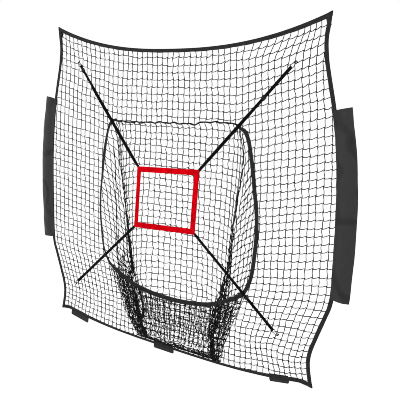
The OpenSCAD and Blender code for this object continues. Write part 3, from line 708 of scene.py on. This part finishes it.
def droop(z):
    """How far the pocket's rows hang down at its creases."""
    return 0.12 * ease(0.1, 0.45, z) * (1 - ease(1.15, 1.47, z)) + 0.012


def pocket_piece(name, replaced, *meshes):
    piece(name + "_knotted", "pocket_net", pocket_finish, *meshes, nodes=[replaced], outward=False)


z_rows = np.arange(1.462, 0.05, -0.0458)
bx, bz = np.meshgrid(np.arange(-12, 15) * BACK_PITCH, z_rows)
bx = bx - (EYE[0] - bx) * belly_y(bz) / -EYE[1]  # the columns hang straight as the eye sees them
c = crease_x(bz, np.sign(bx))
bx = bx / (1 + (np.abs(bx) / c) ** 9) ** (1 / 9)
bz = bz - 0.3 * droop(bz) * np.abs(bx / c) ** 7
bx += stray(0.0022, bx)
bz += stray(0.0024, bz)
by = back_y(bx, bz) + stray(0.0025, bx)
back_grid = np.stack([bx, by, bz], -1)
top_row = np.stack([bx[:1], np.full_like(bx[:1], 0.003), rim_cord_z(bx[:1])], -1)
lines = jogged(np.vstack([top_row, back_grid]), 0.003, 0.0025)[bx.shape[1] - 1:]
pocket_piece("pocket_back", "pocket_back", twine(lines), knots(back_grid.reshape(-1, 3)))


def set_back(x, z, y):
    """The place at depth y that an eye in front of the net sees at x and z of the panel."""
    k = (y - EYE[1]) / -EYE[1]
    return np.stack([EYE[0] + (x - EYE[0]) * k, y, EYE[2] + (z - EYE[2]) * k], -1)


def on_panel(x, y):
    """Where on the panel the eye sees a place at x and depth y."""
    return EYE[0] + (x - EYE[0]) * (-EYE[1] / (y - EYE[1]))


# Height on the panel, inner and outer edge of the drawn-together netting below the mouth.
BANDS = {-1: [(-0.03, 0.195, 0.265), (0, 0.195, 0.3), (0.05, 0.235, 0.35), (0.12, 0.262, 0.38),
              (0.19, 0.28, 0.41), (0.26, 0.3, 0.44), (0.33, 0.32, 0.47), (0.4, 0.34, 0.505)],
         1: [(-0.03, 0.37, 0.43), (0.01, 0.335, 0.437), (0.08, 0.335, 0.452), (0.15, 0.32, 0.469),
             (0.22, 0.325, 0.482), (0.29, 0.34, 0.495), (0.36, 0.37, 0.49), (0.43, 0.41, 0.48)]}
BUNCH = [(0.42, 0.026), (0.6, 0.021), (0.8, 0.016), (1.0, 0.012), (1.2, 0.01), (1.47, 0.006)]
HIGH = [0.85, 1.46, 0.66, 1.35, 0.75, 1.2, 0.6, 0.95, 0.55]  # where every other strand starts
CORE = {-1: (0.02, 0.28), 1: (0.14, 0.38)}
SECOND_FOLD = [(0.4, -0.48), (0.6, -0.497), (1.0, -0.508), (1.3, -0.52)]


def strand(sign, share, start):
    """One drawn-in cord of the pocket: along the crease above, spread into the band below."""
    z = np.arange(1.47 - 0.012 * chance.rand(), -0.03, -0.037)
    z = z[z <= start]
    z = z + stray(0.006, z)
    y = np.clip(crease_y(z) * (0.97 - 0.1 * share), 0.006, 0.2)
    above = on_panel(sign * crease_x(z, sign), y)
    above = above + sign * read(BUNCH, z) * read([(0, -0.8), (0.35, -0.3), (1, 1.6)], share)
    inner, outer = (read(BANDS[sign], z, column) for column in (1, 2))
    below = sign * (inner + (outer - inner) * share)
    top = ease(0.38, 0.64, z)
    x = above * top + below * (1 - top) + stray(0.0042, z)
    y_low = np.clip(crease_y(z) * 0.8 * (1 - share) + 0.014 * share, 0.008, 0.075)
    y_low = y_low * ease(-0.06, 0.1, z) + 0.006
    y = y * top + y_low * (1 - top) + stray(0.004, z) * ease(0, 0.1, z)
    return set_back(x, z, np.maximum(y, 0.0065))


def bunched(sign):
    """The pocket's net drawn together along its crease: strands close together, their
    cross lengths hanging as loops between them."""
    shares = np.sort(np.r_[np.linspace(*CORE[sign], 7), np.linspace(0, 1, 11)])
    strands = [strand(sign, share, HIGH[k // 2] if k % 2 == 0 else chance.uniform(0.42, 0.62))
               for k, share in enumerate(shares)]
    if sign < 0:  # a second, slighter fold in the left side
        for start, shift in ((1.28, 0), (0.66, 0.009)):
            z = np.arange(start, 0.4, -0.04)
            x = read(SECOND_FOLD, z) + shift + stray(0.003, z)
            strands.append(set_back(x, z, 0.05 + stray(0.004, z)))
    lines = []
    for k, s in enumerate(strands):
        lines.append(bent(s[:-1], s[1:], 0.0035))
        mate = strands[(k + 2) % len(strands)]
        n = min(len(s), len(mate))
        a, b = s[-n:], mate[-n:]
        near = np.abs(a[:, 0] - b[:, 0]) < 0.05
        a, b = a[near], b[near]
        hang = (a + b) / 2 + np.c_[stray(0.004, a[:, 0]), chance.uniform(-0.006, 0.006, len(a)),
                                   -chance.uniform(0.004, 0.018, len(a))]
        lines += [bent(a, hang, 0.0012), bent(hang, b, 0.0012)]
    lines = np.maximum(np.vstack(lines), [-9, 0.0052, GATHER_LOW - 0.003])
    return together(twine(lines), knots(np.vstack(strands)))


for side_name, sign in (("left", -1), ("right", 1)):
    k = np.arange(9)
    sz = np.repeat(z_rows[:, None], len(k), 1)
    cs, fr = crease_x(sz, sign), front_x(sz, sign)
    width = np.hypot(fr - cs, crease_y(sz) - 0.0035)
    w = 0.002 / width + k * (0.0335 if sign < 0 else 0.039) / width
    sx = cs + (fr - cs) * w
    w = np.clip(w, 0, 1)
    sz = sz - droop(sz) * (1 - w) ** 1.2
    sx += stray(0.0022, sx)
    sz = sz + stray(0.0024, sz)
    sy = side_y(sign * sx, sz) + 0.008 * np.sin(w * math.pi) + stray(0.002, sx)
    side_grid = np.stack([sign * sx, np.maximum(sy, CLEAR_Y), sz], -1)
    edge = lambda p: (np.abs(p[:, 0]) < front_x(p[:, 2], sign)) & (p[:, 2] > 0.03)
    lines = clipped(jogged(side_grid, 0.003, 0.0025), edge)
    lines[..., 1] = np.maximum(lines[..., 1], CLEAR_Y)
    spots = side_grid.reshape(-1, 3)
    pocket_piece("pocket_side_" + side_name, "pocket_side_" + side_name, twine(lines),
                 knots(spots[edge(spots)]), bunched(sign))

# The skirt below the mouth hangs from the rim to the gathered end, with one slack fold behind it.
SKIRT_R = TWINE_R - 0.0002
low_rim = mouth_half[mouth_half[:, 1] < 0.6]


def on_skirt(p):
    x = np.abs(p[:, 0])
    rim = np.interp(x, low_rim[:, 0], low_rim[:, 1]) + 0.006
    edge = front_x(np.minimum(p[:, 2], skirt_z), np.sign(p[:, 0]))
    return (x < edge - 0.002) & (p[:, 2] < rim) & (p[:, 2] > 0.01)


parts = []
for pitch_x, pitch_z, depth, slack in ((0.0455, 0.0455, 0.0, 0.003), (0.045, 0.043, 0.016, 0.004)):
    u, fz = np.meshgrid(np.arange(-14, 15) * pitch_x / 0.5916, np.arange(0.0, 0.5, pitch_z)[::-1])
    edge = np.where(u < 0, read(LEFT_EDGE, fz), front_x(np.minimum(fz, skirt_z)))
    fx = u * edge + stray(slack, u)
    fz = fz + stray(slack, u) + 0.01 * np.sin(fx * 9 + depth * 100)
    fy = (0.0068 + depth * ease(0, 0.12, fz) + 0.006 * chance.rand(*u.shape)
          + 0.014 * ease(0.1, 0.5, -u) * ease(0.05, 0.2, fz))
    grid = np.stack([fx, fy, fz], -1)
    lines = clipped(jogged(grid, 0.004, 0.004), on_skirt)
    spots = grid.reshape(-1, 3)
    parts += [twine(lines, SKIRT_R), knots(spots[on_skirt(spots)])]
pocket_piece("pocket_skirt", "pocket_front", *parts)

# The gathered end: the net lies crumpled behind the bottom binding, laced down by a cord.
# First seven strands over its width, then six on the right and three on the left.
parts = []
for k in range(16):
    low_end, high_end = (-0.29, 0.415) if k < 7 else (0.22, 0.415) if k < 13 else (-0.29, -0.17)
    x = np.arange(low_end, high_end, 0.019)
    x = np.clip(x + stray(0.004, x), -GATHER_W + 0.002, GATHER_W - 0.002)
    z = bottom_z(x) + 0.0155 + 0.034 * (k % 7) / 7 * (1.4 if k > 6 else 1) + stray(0.005, x)
    y = 0.006 + 0.009 * chance.rand(len(x))
    s = np.stack([x, y, np.clip(z, GATHER_LOW - 0.0015, 0.045)], -1)
    parts.append(bent(s[:-1], s[1:], 0.002))
lines = np.vstack(parts)
lines[..., 1] = np.clip(lines[..., 1], 0.0052, 0.018)
lines[..., 2] = np.maximum(lines[..., 2], GATHER_LOW - 0.002)
x = np.linspace(-0.31, GATHER_W - 0.004, 90)
run = np.c_[x, 0.0105 + 0.0015 * np.sin(x * 40), bottom_z(x) + 0.0195 + 0.0008 * np.sin(x * 57)]
pocket_piece("pocket_gather", "pocket_gather", twine(lines), knots(lines[::2, 0]), tube(run, 0.0038, 10))

# ---- rim of the mouth ----

line = inset(mouth_line, 0.014)
tail = [line[0] + unit(line[0] - line[1]) * 0.018, line[-1] + unit(line[-1] - line[-2]) * 0.018]
line, at = evenly(np.vstack([tail[:1], line, tail[1:]]), 240)
x, z = line.T
# The strip lies flat on the right, tips up along the bottom and is rolled edge-on on the left,
# but for one place where it shows its face.
face = (ease(1.13, 1.18, z) * (1 - ease(1.28, 1.34, z)) + 0.5 * (1 - ease(0.36, 0.44, z))
        + 0.35 * ease(1.38, 1.46, z))
left = (-22 + 30 * np.clip(face, 0, 1)) * ease(-0.5, -0.6, x)
low = 24 * (1 - ease(0.42, 0.62, z)) * ease(-0.58, -0.35, x) * (1 - 0.5 * ease(0.3, 0.55, x))
lean = np.radians(np.where(x < 0, left, 0) + low)
lean = np.convolve(np.pad(lean, 6, mode="edge"), np.ones(13) / 13, mode="valid")
tilt = inward_of(line) * np.cos(lean)[:, None] + np.array([0, 1, 0]) * np.sin(lean)[:, None]
wide = (0.0272 - 0.002 * ease(-0.5, -0.62, x)
        + 0.0018 * (1 - ease(0.4, 0.6, z)) * ease(0.55, 0.35, np.abs(x)))
wide = wide * (0.4 + 0.6 * ease(0, 0.06, np.minimum(at, at[-1] - at)))
centre = np.c_[x, 0.0002 + 0.0125 * np.abs(np.sin(lean)) + 0.0006 * np.sin(at * 31), z]
for name, part in {"left": slice(0, 92), "bottom": slice(91, 149), "right": slice(148, 240)}.items():
    c, s = centre[part], tilt[part]
    piece(f"rim_{name}_webbing", "rim_webbing", rim_finish, strip(c, s, wide[part], 0.0032),
          nodes=["pocket_rim_" + name])
    out = unit(np.cross(s, unit(np.gradient(c, axis=0))))
    seams = [stitches(c + s * shift + out * way * 0.0017, s, out * way)
             for shift in (-0.0085, 0.0085) for way in (1, -1)]
    piece(f"rim_{name}_stitching", "rim_webbing", thread_finish, *seams)

x = np.linspace(-0.521, 0.521, 150)
line = np.c_[x, 0.0004 * np.sin(x * 47), rim_cord_z(x)]
piece("rim_top_cord", "cord", cord_finish, tube(line, 0.0051 + 0.0007 * np.sin(x * 90), 10),
      nodes=["pocket_rim_cord"], outward=False)

# ---- bindings along the panel's edges ----

# Each edge's line, its binding's width in the middle, how much that grows outwards, and from where.
EDGES = {"bottom": (low_line, 0.0152, 0.0095, 0.45), "right": (right_line, 0.0245, 0, 0),
         "top": (top_line, 0.0235, 0.002, 0.5), "left": (left_line, 0.0215, 0, 0)}
for name, (edge_line, least, growth, start) in EDGES.items():
    p, at = evenly(edge_line, 200)
    wide = least + growth * ease(start, 1.0, np.abs(p[:, 0]))
    wide = wide + 0.0006 * np.sin(at * 37) + 0.0005 * np.sin(at * 83)
    mid = inset(p, wide / 2 + 0.0008)
    inward = inward_of(mid)
    centre = np.c_[mid[:, 0], 0.0003 * np.sin(at * 29), mid[:, 1]]
    v, f, t = strip(centre, inward, wide, 0.006, pucker=0.00035 * np.sin(at * 260))
    v[:, 0] = np.clip(v[:, 0], -side_x(v[:, 2]), side_x(v[:, 2]))
    v[:, 2] = np.clip(v[:, 2], bottom_z(v[:, 0]), top_z(v[:, 0]))
    piece(name + "_binding", "binding", binding_finish, (v, f, t), nodes=[name + "_hem"])
    seam = centre + inward * (wide / 2 - 0.0045)[:, None]
    sewn = clear_of_hems(seam, 0.004, 0.004, 0.004)
    seams = [stitches(seam[sewn] + [0, s * 0.0031, 0], inward[sewn], [0, s, 0]) for s in (-1, 1)]
    piece(name + "_binding_stitching", "binding", thread_finish, *seams)

# ---- pole sleeves ----

SLEEVE_LOW, SLEEVE_TOP, SLEEVE_ROWS = 0.556, 1.61, 64
REACH = [(SLEEVE_LOW, 0.093), (0.7, 0.098), (0.95, 0.104), (1.2, 0.102), (1.45, 0.096), (SLEEVE_TOP, 0.09)]
CURVE = rounded([(0, 0.12), (0.08, 0.32), (0.2, 0.62), (0.34, 0.88), (0.5, 1), (0.66, 0.93),
                 (0.8, 0.7), (0.9, 0.44), (0.97, 0.18), (1.0, 0.0)], 3)


def sleeve(sign, name):
    """A flattened fabric tube beside the panel: each row goes out over the front and back again."""
    folds = chance.uniform(0, 6.28, 8)
    last = SLEEVE_ROWS - 1
    s, h = np.vstack([[(-0.22, 0.0), (-0.1, 0.0)], CURVE]).T
    loop_s, loop_h = np.r_[s, s[-2::-1]], np.maximum(np.r_[h, h[-2::-1]], 0)
    loop_y = np.r_[-np.ones(len(s)), np.ones(len(s) - 1)]
    zs = np.linspace(SLEEVE_TOP, SLEEVE_LOW, SLEEVE_ROWS)
    verts = []
    for k, z in enumerate(zs):
        out = loop_s * np.where(loop_s > 0, read(REACH, z) - 0.001, 0.11)
        rise = (out + 0.02) * 0.2 * (1 - ease(0, 5, k)) - out * 0.04 * ease(last - 5, last, k)
        room = 0.0132 * loop_h * 0.92 + 0.0029 * (1 - np.clip(loop_s, 0, 1))
        wrinkle = sum(depth * np.sin(z * rate + loop_s * slant + fold) for depth, rate, slant, fold in zip(
            (0.9, 0.7, 0.5, 0.35), (19, 37, 63, 110), (3.1 * loop_y, -5, 7 * loop_y, -9), folds))
        wrinkle = wrinkle * 0.0013 * np.clip(loop_s * 3, 0, 1) * (loop_s < 0.995)
        y = np.where(loop_s >= 0.999, 0, loop_y * (room + 0.0008 + wrinkle * (wrinkle > -0.001)))
        x = side_x(z) + out + 0.0012 * np.sin(z * 23 + folds[4]) * np.clip(loop_s, 0, 1)
        verts.append(np.stack([sign * x, y, z + rise], -1))
    verts = np.array(verts)
    girth = distances(verts[SLEEVE_ROWS // 2])
    faces, uv = quads(np.tile(girth, (SLEEVE_ROWS, 1)), zs, closed=False)
    way = -sign  # the right sleeve's faces are wound the other way round
    mesh = verts.reshape(-1, 3), faces[:, ::way].tolist(), uv[:, ::way]
    obj = piece(name + "_cloth", "sleeve_fabric", sleeve_finish, mesh, nodes=[name], outward=False)
    applied(obj, "SOLIDIFY", thickness=0.0009, offset=-1)
    applied(obj, "SUBSURF", levels=1, render_levels=1)
    rows = []
    for way, inner in ((-1, 1), (1, len(loop_s) - 2)):
        pick = (loop_y == way) & (loop_s < 0.93)
        for ring, shift in ((1, 0.004), (last - 1, -0.004)):
            rows.append(stitches(verts[ring, pick] + [0, 0.0011 * way, shift], [0, 0, 1], [0, way, 0]))
        rows.append(stitches(verts[:, inner] + [0, 0.0011 * way, 0], [1, 0, 0], [0, way, 0]))
    piece(name + "_stitching", "sleeve_fabric", thread_finish, *rows)


sleeve(-1, "pole_sleeve_left")
sleeve(1, "pole_sleeve_right")

# ---- corner pockets: a short fabric tube sewn behind each top corner ----

# Radius and height in millimetres: up the outside, over the lip and down the inside.
TUBE_WALL = [(0.2, 44.4), (4, 44.3), (7.4, 43.6), (8.7, 42), (8.9, 39), (8.75, 30), (8.9, 20), (8.7, 12),
             (8.9, 8.2), (9.25, 7.6), (9.3, 1.4), (9.0, 0.3), (8.0, 0), (7.0, 0), (6.6, 0.4), (6.52, 2),
             (6.52, 41), (6.2, 41.9), (0.2, 42)]


def corner_pocket(sign, name):
    p = np.array([(r * 0.001, h * 0.001) for r, h in TUBE_WALL])
    cs, sn = circle(40)
    verts = np.stack([p[:, 0, None] * cs.T, p[:, 0, None] * sn.T, p[:, 1, None] + 0 * cs.T], -1)
    v, f, t = lofted(verts, np.arange(41) / 40 * 0.055, distances(p))
    v = v - [0, 0, 0.042]
    outer = np.hypot(v[:, 0], v[:, 1]) > 0.0075
    swell = 0.00022 * np.sin(v[:, 2] * 420 + np.arctan2(v[:, 1], v[:, 0]) * 3)
    v[outer, :2] *= (1 + swell[outer] / 0.009)[:, None]
    flap = strip(np.c_[np.zeros(14), np.full(14, -0.0093), np.linspace(-0.036, -0.004, 14)],
                 [1, 0, 0], 0.022, 0.0015)
    seams = [stitches(np.c_[np.full(12, s), np.full(12, -0.0084), np.linspace(-0.036, -0.002, 12)],
                      [1, 0, 0], [0, 1, 0]) for s in (-0.0098, 0.0098)]
    cs, sn = math.cos(math.radians(15)), math.sin(math.radians(15)) * sign
    lean = np.array([[cs, 0, sn], [0, 1, 0], [-sn, 0, cs]])
    place = np.array([sign * 1.06, 0.012, 2.1])
    cloth, flat, *seams = [(p @ lean + place, *rest) for p, *rest in ((v, f, t), flap, *seams)]
    flat[0][:, 0] = np.clip(flat[0][:, 0], 0.002 - side_x(flat[0][:, 2]), side_x(flat[0][:, 2]) - 0.002)
    piece(name + "_cloth", "corner_fabric", corner_finish, cloth, flat, nodes=[name])
    piece(name + "_stitching", "corner_fabric", thread_finish, *seams)


corner_pocket(-1, "corner_pocket_left")
corner_pocket(1, "corner_pocket_right")

# ---- target square ----

TL, TR, BL, BR = np.array([(-0.294, 1.18), (0.23, 1.204), (-0.322, 0.76), (0.202, 0.784)])


def straight(a, b, y, n):
    """Points at depth y from a to b of the panel."""
    s = np.linspace(0, 1, n)[:, None]
    return np.insert(a * (1 - s) + b * s, 1, y, axis=1)


# Each side's ends, the way to its middle line, its depth and how far it is twisted, in degrees.
for name, a, b, way, y, twist in (("top", TL, TR, -1, -0.0069, 0), ("bottom", BL, BR, 1, -0.0069, 0),
                                  ("left", BL, TL, -1, -0.0085, 7), ("right", BR, TR, 1, -0.0085, -13)):
    d = unit(b - a)
    shift = np.array([-d[1], d[0]]) * way * 0.016
    turned = math.radians(twist) * np.sin(np.linspace(0, math.pi, 40)) ** 0.4
    over = np.stack([-d[1] * np.cos(turned), np.sin(turned), d[0] * np.cos(turned)], -1)
    wide = 0.0368 + 0.0004 * np.sin(np.linspace(0, 23, 40))
    piece(f"target_{name}_webbing", "red_webbing", red_finish,
          strip(straight(a + shift, b + shift, y, 40), over, wide, 0.0015), body="target",
          nodes=["target_" + name])
boxes = []
for corner, other, third in ((TL, TR, BL), (TR, TL, BR), (BL, BR, TL), (BR, BL, TR)):
    u, w = unit(other - corner), unit(third - corner)
    q = [corner + u * a + w * b for a, b in ((0.002, 0.002), (0.03, 0.002), (0.03, 0.03), (0.002, 0.03))]
    for a, b in ((0, 1), (1, 2), (2, 3), (3, 0), (0, 2), (1, 3)):
        d = q[b] - q[a]
        boxes.append(stitches(straight(q[a], q[b], -0.0094, 8), [-d[1], 0, d[0]], [0, -1, 0],
                              0.0042, 0.0032, 0.0005))
piece("target_corner_stitching", "red_webbing", red_thread_finish, *boxes, body="target")

# ---- straps, sliders and hooks ----

# Each strap's end at the square, its end at the hook's tip, and the slider's distance from that.
RUNS = {"upper_left": ((-0.278, 1.164), (-0.878, 1.885), 0.082),
        "upper_right": ((0.214, 1.188), (0.885, 1.869), 0.285),
        "lower_left": ((-0.306, 0.776), (-0.932, 0.227), 0.43),
        "lower_right": ((0.186, 0.8), (0.843, 0.264), 0.296)}
STRAP_Y, BAIL_BACK, BAIL_Y = -0.005, 0.04, -0.0058
FOLD_R, PLY = 0.0023, 0.0014  # of the strap's turn round the hook, and of one thickness of webbing
WIRE_R, DIP_R, BEND_R, TIP_R = 0.0018, 0.0034, 0.0028, 0.0022
LEG, NEAR = 0.01155, 0.0062  # half the hook's spread at the strap and at its tip
DIP_SIDE = rounded([(0.0285, 0), (0.0315, 0.0001), (0.0335, 0.0014), (0.0372, 0.0066), (0.0395, 0.0108)], 4)


def bend(s, h, start, stop):
    """A quarter turn of the hook's wire about s and h, which are along and over the strap."""
    return [(s + BEND_R * math.cos(q), h + BEND_R * math.sin(q)) for q in np.linspace(start, stop, 7)]


for name, (a, b, back) in RUNS.items():
    a, b = np.array(a), np.array(b)
    total = np.linalg.norm(b - a)
    d = (b - a) / total
    sideways = np.array([-d[1], 0, d[0]])

    def on(s, y, h=0.0):
        """A point s along the strap, at depth y and h over its width."""
        q = a + d * s
        return np.array([q[0], y, q[1]]) + sideways * h

    slide_at, bail = total - back, total - BAIL_BACK
    path = [on(s, STRAP_Y) for s in np.linspace(-0.012, bail - 0.0005, 60)]
    path += [on(bail + FOLD_R * math.cos(q), BAIL_Y - 0.0003 - FOLD_R * math.sin(q))
             for q in np.linspace(-math.pi / 2, math.pi / 2, 9)[1:-1]]
    path += [on(s, -0.0067) for s in np.linspace(bail - 0.0005, slide_at - 0.009,
                                                 max(int((back - BAIL_BACK) / 0.01), 5))]
    path = np.array(path)
    path[:, 1] += 0.00012 * np.sin(np.linspace(0, 40, len(path)))
    gone = distances(path)
    # The strap is twisted a little, but lies flat over its slider's travel, and what follows the
    # square ends well before the slider.
    travel, twist, spare = (0.1, 28, 0.14) if name == "upper_left" else (0.08, 6, 0.11)
    open_run = ease(0.03, 0.12, gone) * ease(slide_at - travel - 0.012, slide_at - travel - 0.06, gone)
    turned = math.radians(twist) * open_run
    path[:, 1] -= 0.0066 * np.sin(turned)
    over = sideways * np.cos(turned)[:, None] + np.array([0, -1, 0]) * np.sin(turned)[:, None]
    obj = piece(f"strap_{name}_webbing", "strap_webbing", strap_finish,
                strip(path, over, 0.0198 + 0.0018 * open_run, PLY), body=None, nodes=["strap_" + name])
    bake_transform(obj)
    tack = [stitches([on(s, -0.0077, h) for h in np.linspace(-0.0085, 0.0085, 8)], [d[0], 0, d[1]],
                     [0, -1, 0], 0.0028, 0.0022, 0.0004) for s in (bail - 0.0035, bail - 0.0065)]
    piece(f"strap_{name}_stitching", "strap_webbing", thread_finish, *tack)

    # The hook: one wire bent square round the strap's fold, its end bent back and dipped.
    flat = ([(0.029, -NEAR), (0.015, -(LEG + NEAR) / 2)]
            + bend(BEND_R, -LEG + BEND_R, -math.pi / 2, -math.pi)
            + bend(BEND_R, LEG - BEND_R, math.pi, math.pi / 2) + [(0.015, (LEG + NEAR) / 2), (0.029, NEAR)])
    tip = [(s, y, -NEAR) for s, y in DIP_SIDE]
    end_s, end_y = DIP_SIDE[-1]
    tip += [(end_s + 0.0002 + TIP_R * math.sin(q) * 0.3, end_y + TIP_R * math.sin(q),
             -NEAR + TIP_R * (1 - math.cos(q))) for q in np.linspace(0.3, math.pi / 2, 5)]
    tip += [(s, y, -h) for s, y, h in tip[::-1]]
    for label, slot, finish, points, radius, replaced in (
            ("wire", "hook_wire", wire_finish, [(s, 0, h) for s, h in flat], WIRE_R, "hook_"),
            ("dipped_end", "tip_vinyl", vinyl_finish, tip, DIP_R, "hook_tip_")):
        points = [on(bail + s, BAIL_Y + y, h) for s, y, h in points]
        piece(f"hook_{name}_{label}", slot, finish, tube(points, radius, 14), body="hook_" + name,
              nodes=[replaced + name])

    # The slider: the moulded ladder is finished from its own solid, edges softened.
    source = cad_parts["slider_" + name]
    mould = source.copy()
    mould.data = source.data.copy()
    mould.name = f"slider_{name}_moulded"
    for key in [key for key in mould.keys() if key.startswith("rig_")]:
        del mould[key]
    mould.parent = None
    mould.hide_render = mould.hide_viewport = False
    bpy.context.scene.collection.objects.link(mould)
    edit = bmesh.new()
    edit.from_mesh(mould.data)
    bmesh.ops.remove_doubles(edit, verts=edit.verts, dist=1e-5)
    bmesh.ops.dissolve_limit(edit, angle_limit=0.02, verts=edit.verts, edges=edit.edges)
    edit.to_mesh(mould.data)
    edit.free()
    mould.select_set(True)
    applied(mould, "BEVEL", width=0.0006, segments=3, limit_method="ANGLE")
    bpy.ops.object.shade_smooth_by_angle(angle=0.6)
    mould.select_set(False)
    mould.data.materials.clear()
    mould.data.materials.append(plastic_finish)
    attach(mould, "slider_" + name)
    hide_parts("slider_" + name)

# ---- base tabs ----

# Middle, width, height of the lower edge, and how far it is turned, in degrees.
TABS = {"left": (-0.895, 0.185, -0.047, 9.5), "middle": (-0.053, 0.176, -0.078, 0.0),
        "right": (0.862, 0.135, -0.033, -9.0)}
TAB_H, LEAF_Y, FLAP_Y, TURN_R, TURN_Z = 0.05, 0.00325, 0.00745, 0.0021, 0.0029
TAPE = 0.0085, 0.0395  # the heights between which its hook and loop tapes lie


def at_tab(tab, p):
    """From the middle of the tab's lower edge to the frame."""
    a = math.radians(tab[3])
    p = np.asarray(p, float)
    z = p[:, 2] - TAB_H / 2
    return np.c_[tab[0] + p[:, 0] * math.cos(a) + z * math.sin(a), p[:, 1],
                 tab[2] + TAB_H / 2 - p[:, 0] * math.sin(a) + z * math.cos(a)]


def corners_in(h, low, high, r):
    """How far the ends of a tab draw in near its lower and upper edges."""
    gap = max(min(h - low, high - h), 0)
    return r - math.sqrt(max(r * r - (r - gap) ** 2, 0)) if gap < r else 0.0


def plate(tab, path, margin, radius, low, high, thick):
    """A strip of the tab's width: path is depth and height; its corners are rounded."""
    wide = np.array([tab[1] - 2 * margin - 2 * corners_in(h, low, high, radius) for y, h in path])
    v, f, t = strip([(0, y, h) for y, h in path], [1, 0, 0], wide, thick)
    return at_tab(tab, v), f, t


for name, tab in TABS.items():
    tab_name, flap_body = "tab_" + name, "tab_flap_" + name
    leaf = [(LEAF_Y, h) for h in np.r_[np.linspace(0.0026, 0.016, 12), np.linspace(0.018, 0.0495, 12)]]
    piece(tab_name + "_leaf", "tab_webbing", tab_finish, plate(tab, leaf, 0.0, 0.013, 0.0, 0.06, PLY),
          nodes=[tab_name + "_front"])
    flap = [(LEAF_Y + TURN_R * (1 - math.cos(q)), TURN_Z - TURN_R * math.sin(q))
            for q in np.linspace(0, math.pi, 9)]
    flap += [(FLAP_Y, h) for h in np.r_[np.linspace(0.0035, 0.016, 10), np.linspace(0.018, 0.036, 8),
                                        np.linspace(0.037, 0.0478, 10)]]
    obj = piece(tab_name + "_turned_flap", "tab_webbing", tab_finish,
                plate(tab, flap, 0.0, 0.011, 0.0, 0.0482, PLY), body=None, nodes=[tab_name + "_flap"])
    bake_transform(obj)
    for slot, y, body, replaced, finish in (
            ("hook_tape", 0.0061, flap_body, [tab_name + "_hook_pad"], hook_tape_finish),
            ("loop_tape", 0.0046, "panel", ["loop_pads"] if name == "left" else [], loop_tape_finish)):
        pad = [(y, h) for h in np.linspace(*TAPE, 9)]
        piece(f"{tab_name}_{slot}", slot, finish, plate(tab, pad, 0.0075, 0.003, *TAPE, 0.0011),
              body=body, nodes=replaced)
    w = tab[1] / 2 - 0.0045
    for body, y, way, label in (("panel", 0.0025, -1, "leaf"), (flap_body, 0.0082, 1, "flap")):
        ring = [(-w, y, 0.018), (-w, y, 0.042), (w, y, 0.042), (w, y, 0.018)]
        seams = []
        for start, stop in zip(ring[:-1], ring[1:]):
            p = at_tab(tab, np.linspace(start, stop, 12))
            seams.append(stitches(p, np.cross(p[-1] - p[0], [0, 1, 0]), [0, way, 0]))
        piece(f"{tab_name}_{label}_stitching", "tab_webbing", thread_finish, *seams, body=body)

# ---- floor, light and camera ----


def two_faced(block, share, unseen, shown, output):
    """Makes a material or world look like shown for a share of the rays that see it straight,
    mirrored or through something, and like unseen for all others."""
    block.use_nodes = True
    tree = block.node_tree
    tree.nodes.clear()
    rays = node(tree, "LightPath").outputs
    seen = rays["Is Camera Ray"]
    for extra in ("Is Glossy Ray", "Is Transmission Ray"):
        seen = maths("MAXIMUM", seen, rays[extra])
    mix = node(tree, "MixShader")
    feed(mix.inputs[0], maths("MULTIPLY", seen, share))
    for socket, (kind, values) in zip(mix.inputs[1:], (unseen, shown)):
        feed(socket, node(tree, kind, **values).outputs[0])
    feed(node(tree, output).inputs[0], mix.outputs[0])


def lamp(name, place, aim, size, power):
    light = bpy.data.lights.new(name, "AREA")
    light.size, light.energy = size, power
    obj = bpy.data.objects.new(name, light)
    bpy.context.scene.collection.objects.link(obj)
    obj.location = place
    obj.rotation_euler = (Vector(aim) - Vector(place)).to_track_quat("-Z", "Y").to_euler()


bpy.ops.mesh.primitive_plane_add(size=60, location=(0, 0, cad_box[0][2] - 0.004))
floor = bpy.context.object
floor.name = "floor"
floor.select_set(False)
pale = bpy.data.materials.new("pale floor")
two_faced(pale, 0.9, ("BsdfDiffuse", {"Color": (0.9, 0.9, 0.9)}), ("Emission", {"Strength": 1.06}),
          "OutputMaterial")
floor.data.materials.append(pale)

scene = bpy.context.scene
scene.world = bpy.data.worlds.new("studio")
white = {"Color": (1, 1, 1)}
two_faced(scene.world, 1.0, ("Background", {**white, "Strength": 0.55}),
          ("Background", {**white, "Strength": 1.0}), "OutputWorld")

lamp("key light", (-2.5, -4.0, 4.5), (0, 0, 1), 3.0, 110)
lamp("fill light", (4.5, -3.5, 2.5), (0, 0, 1), 3.0, 50)
lamp("back light", (0.5, 4.0, 4.0), (0, 0, 1), 3.0, 60)

lens = bpy.data.cameras.new("camera")
lens.lens, lens.sensor_width = 58.192, 36
camera = bpy.data.objects.new("camera", lens)
scene.collection.objects.link(camera)
camera.location = EYE
camera.rotation_euler = (1.402889, -0.0224976, 0.6504007)
scene.camera = camera
scene.cycles.filter_width = 0.9  # keeps the thin twine crisp
scene.view_settings.view_transform = "Standard"
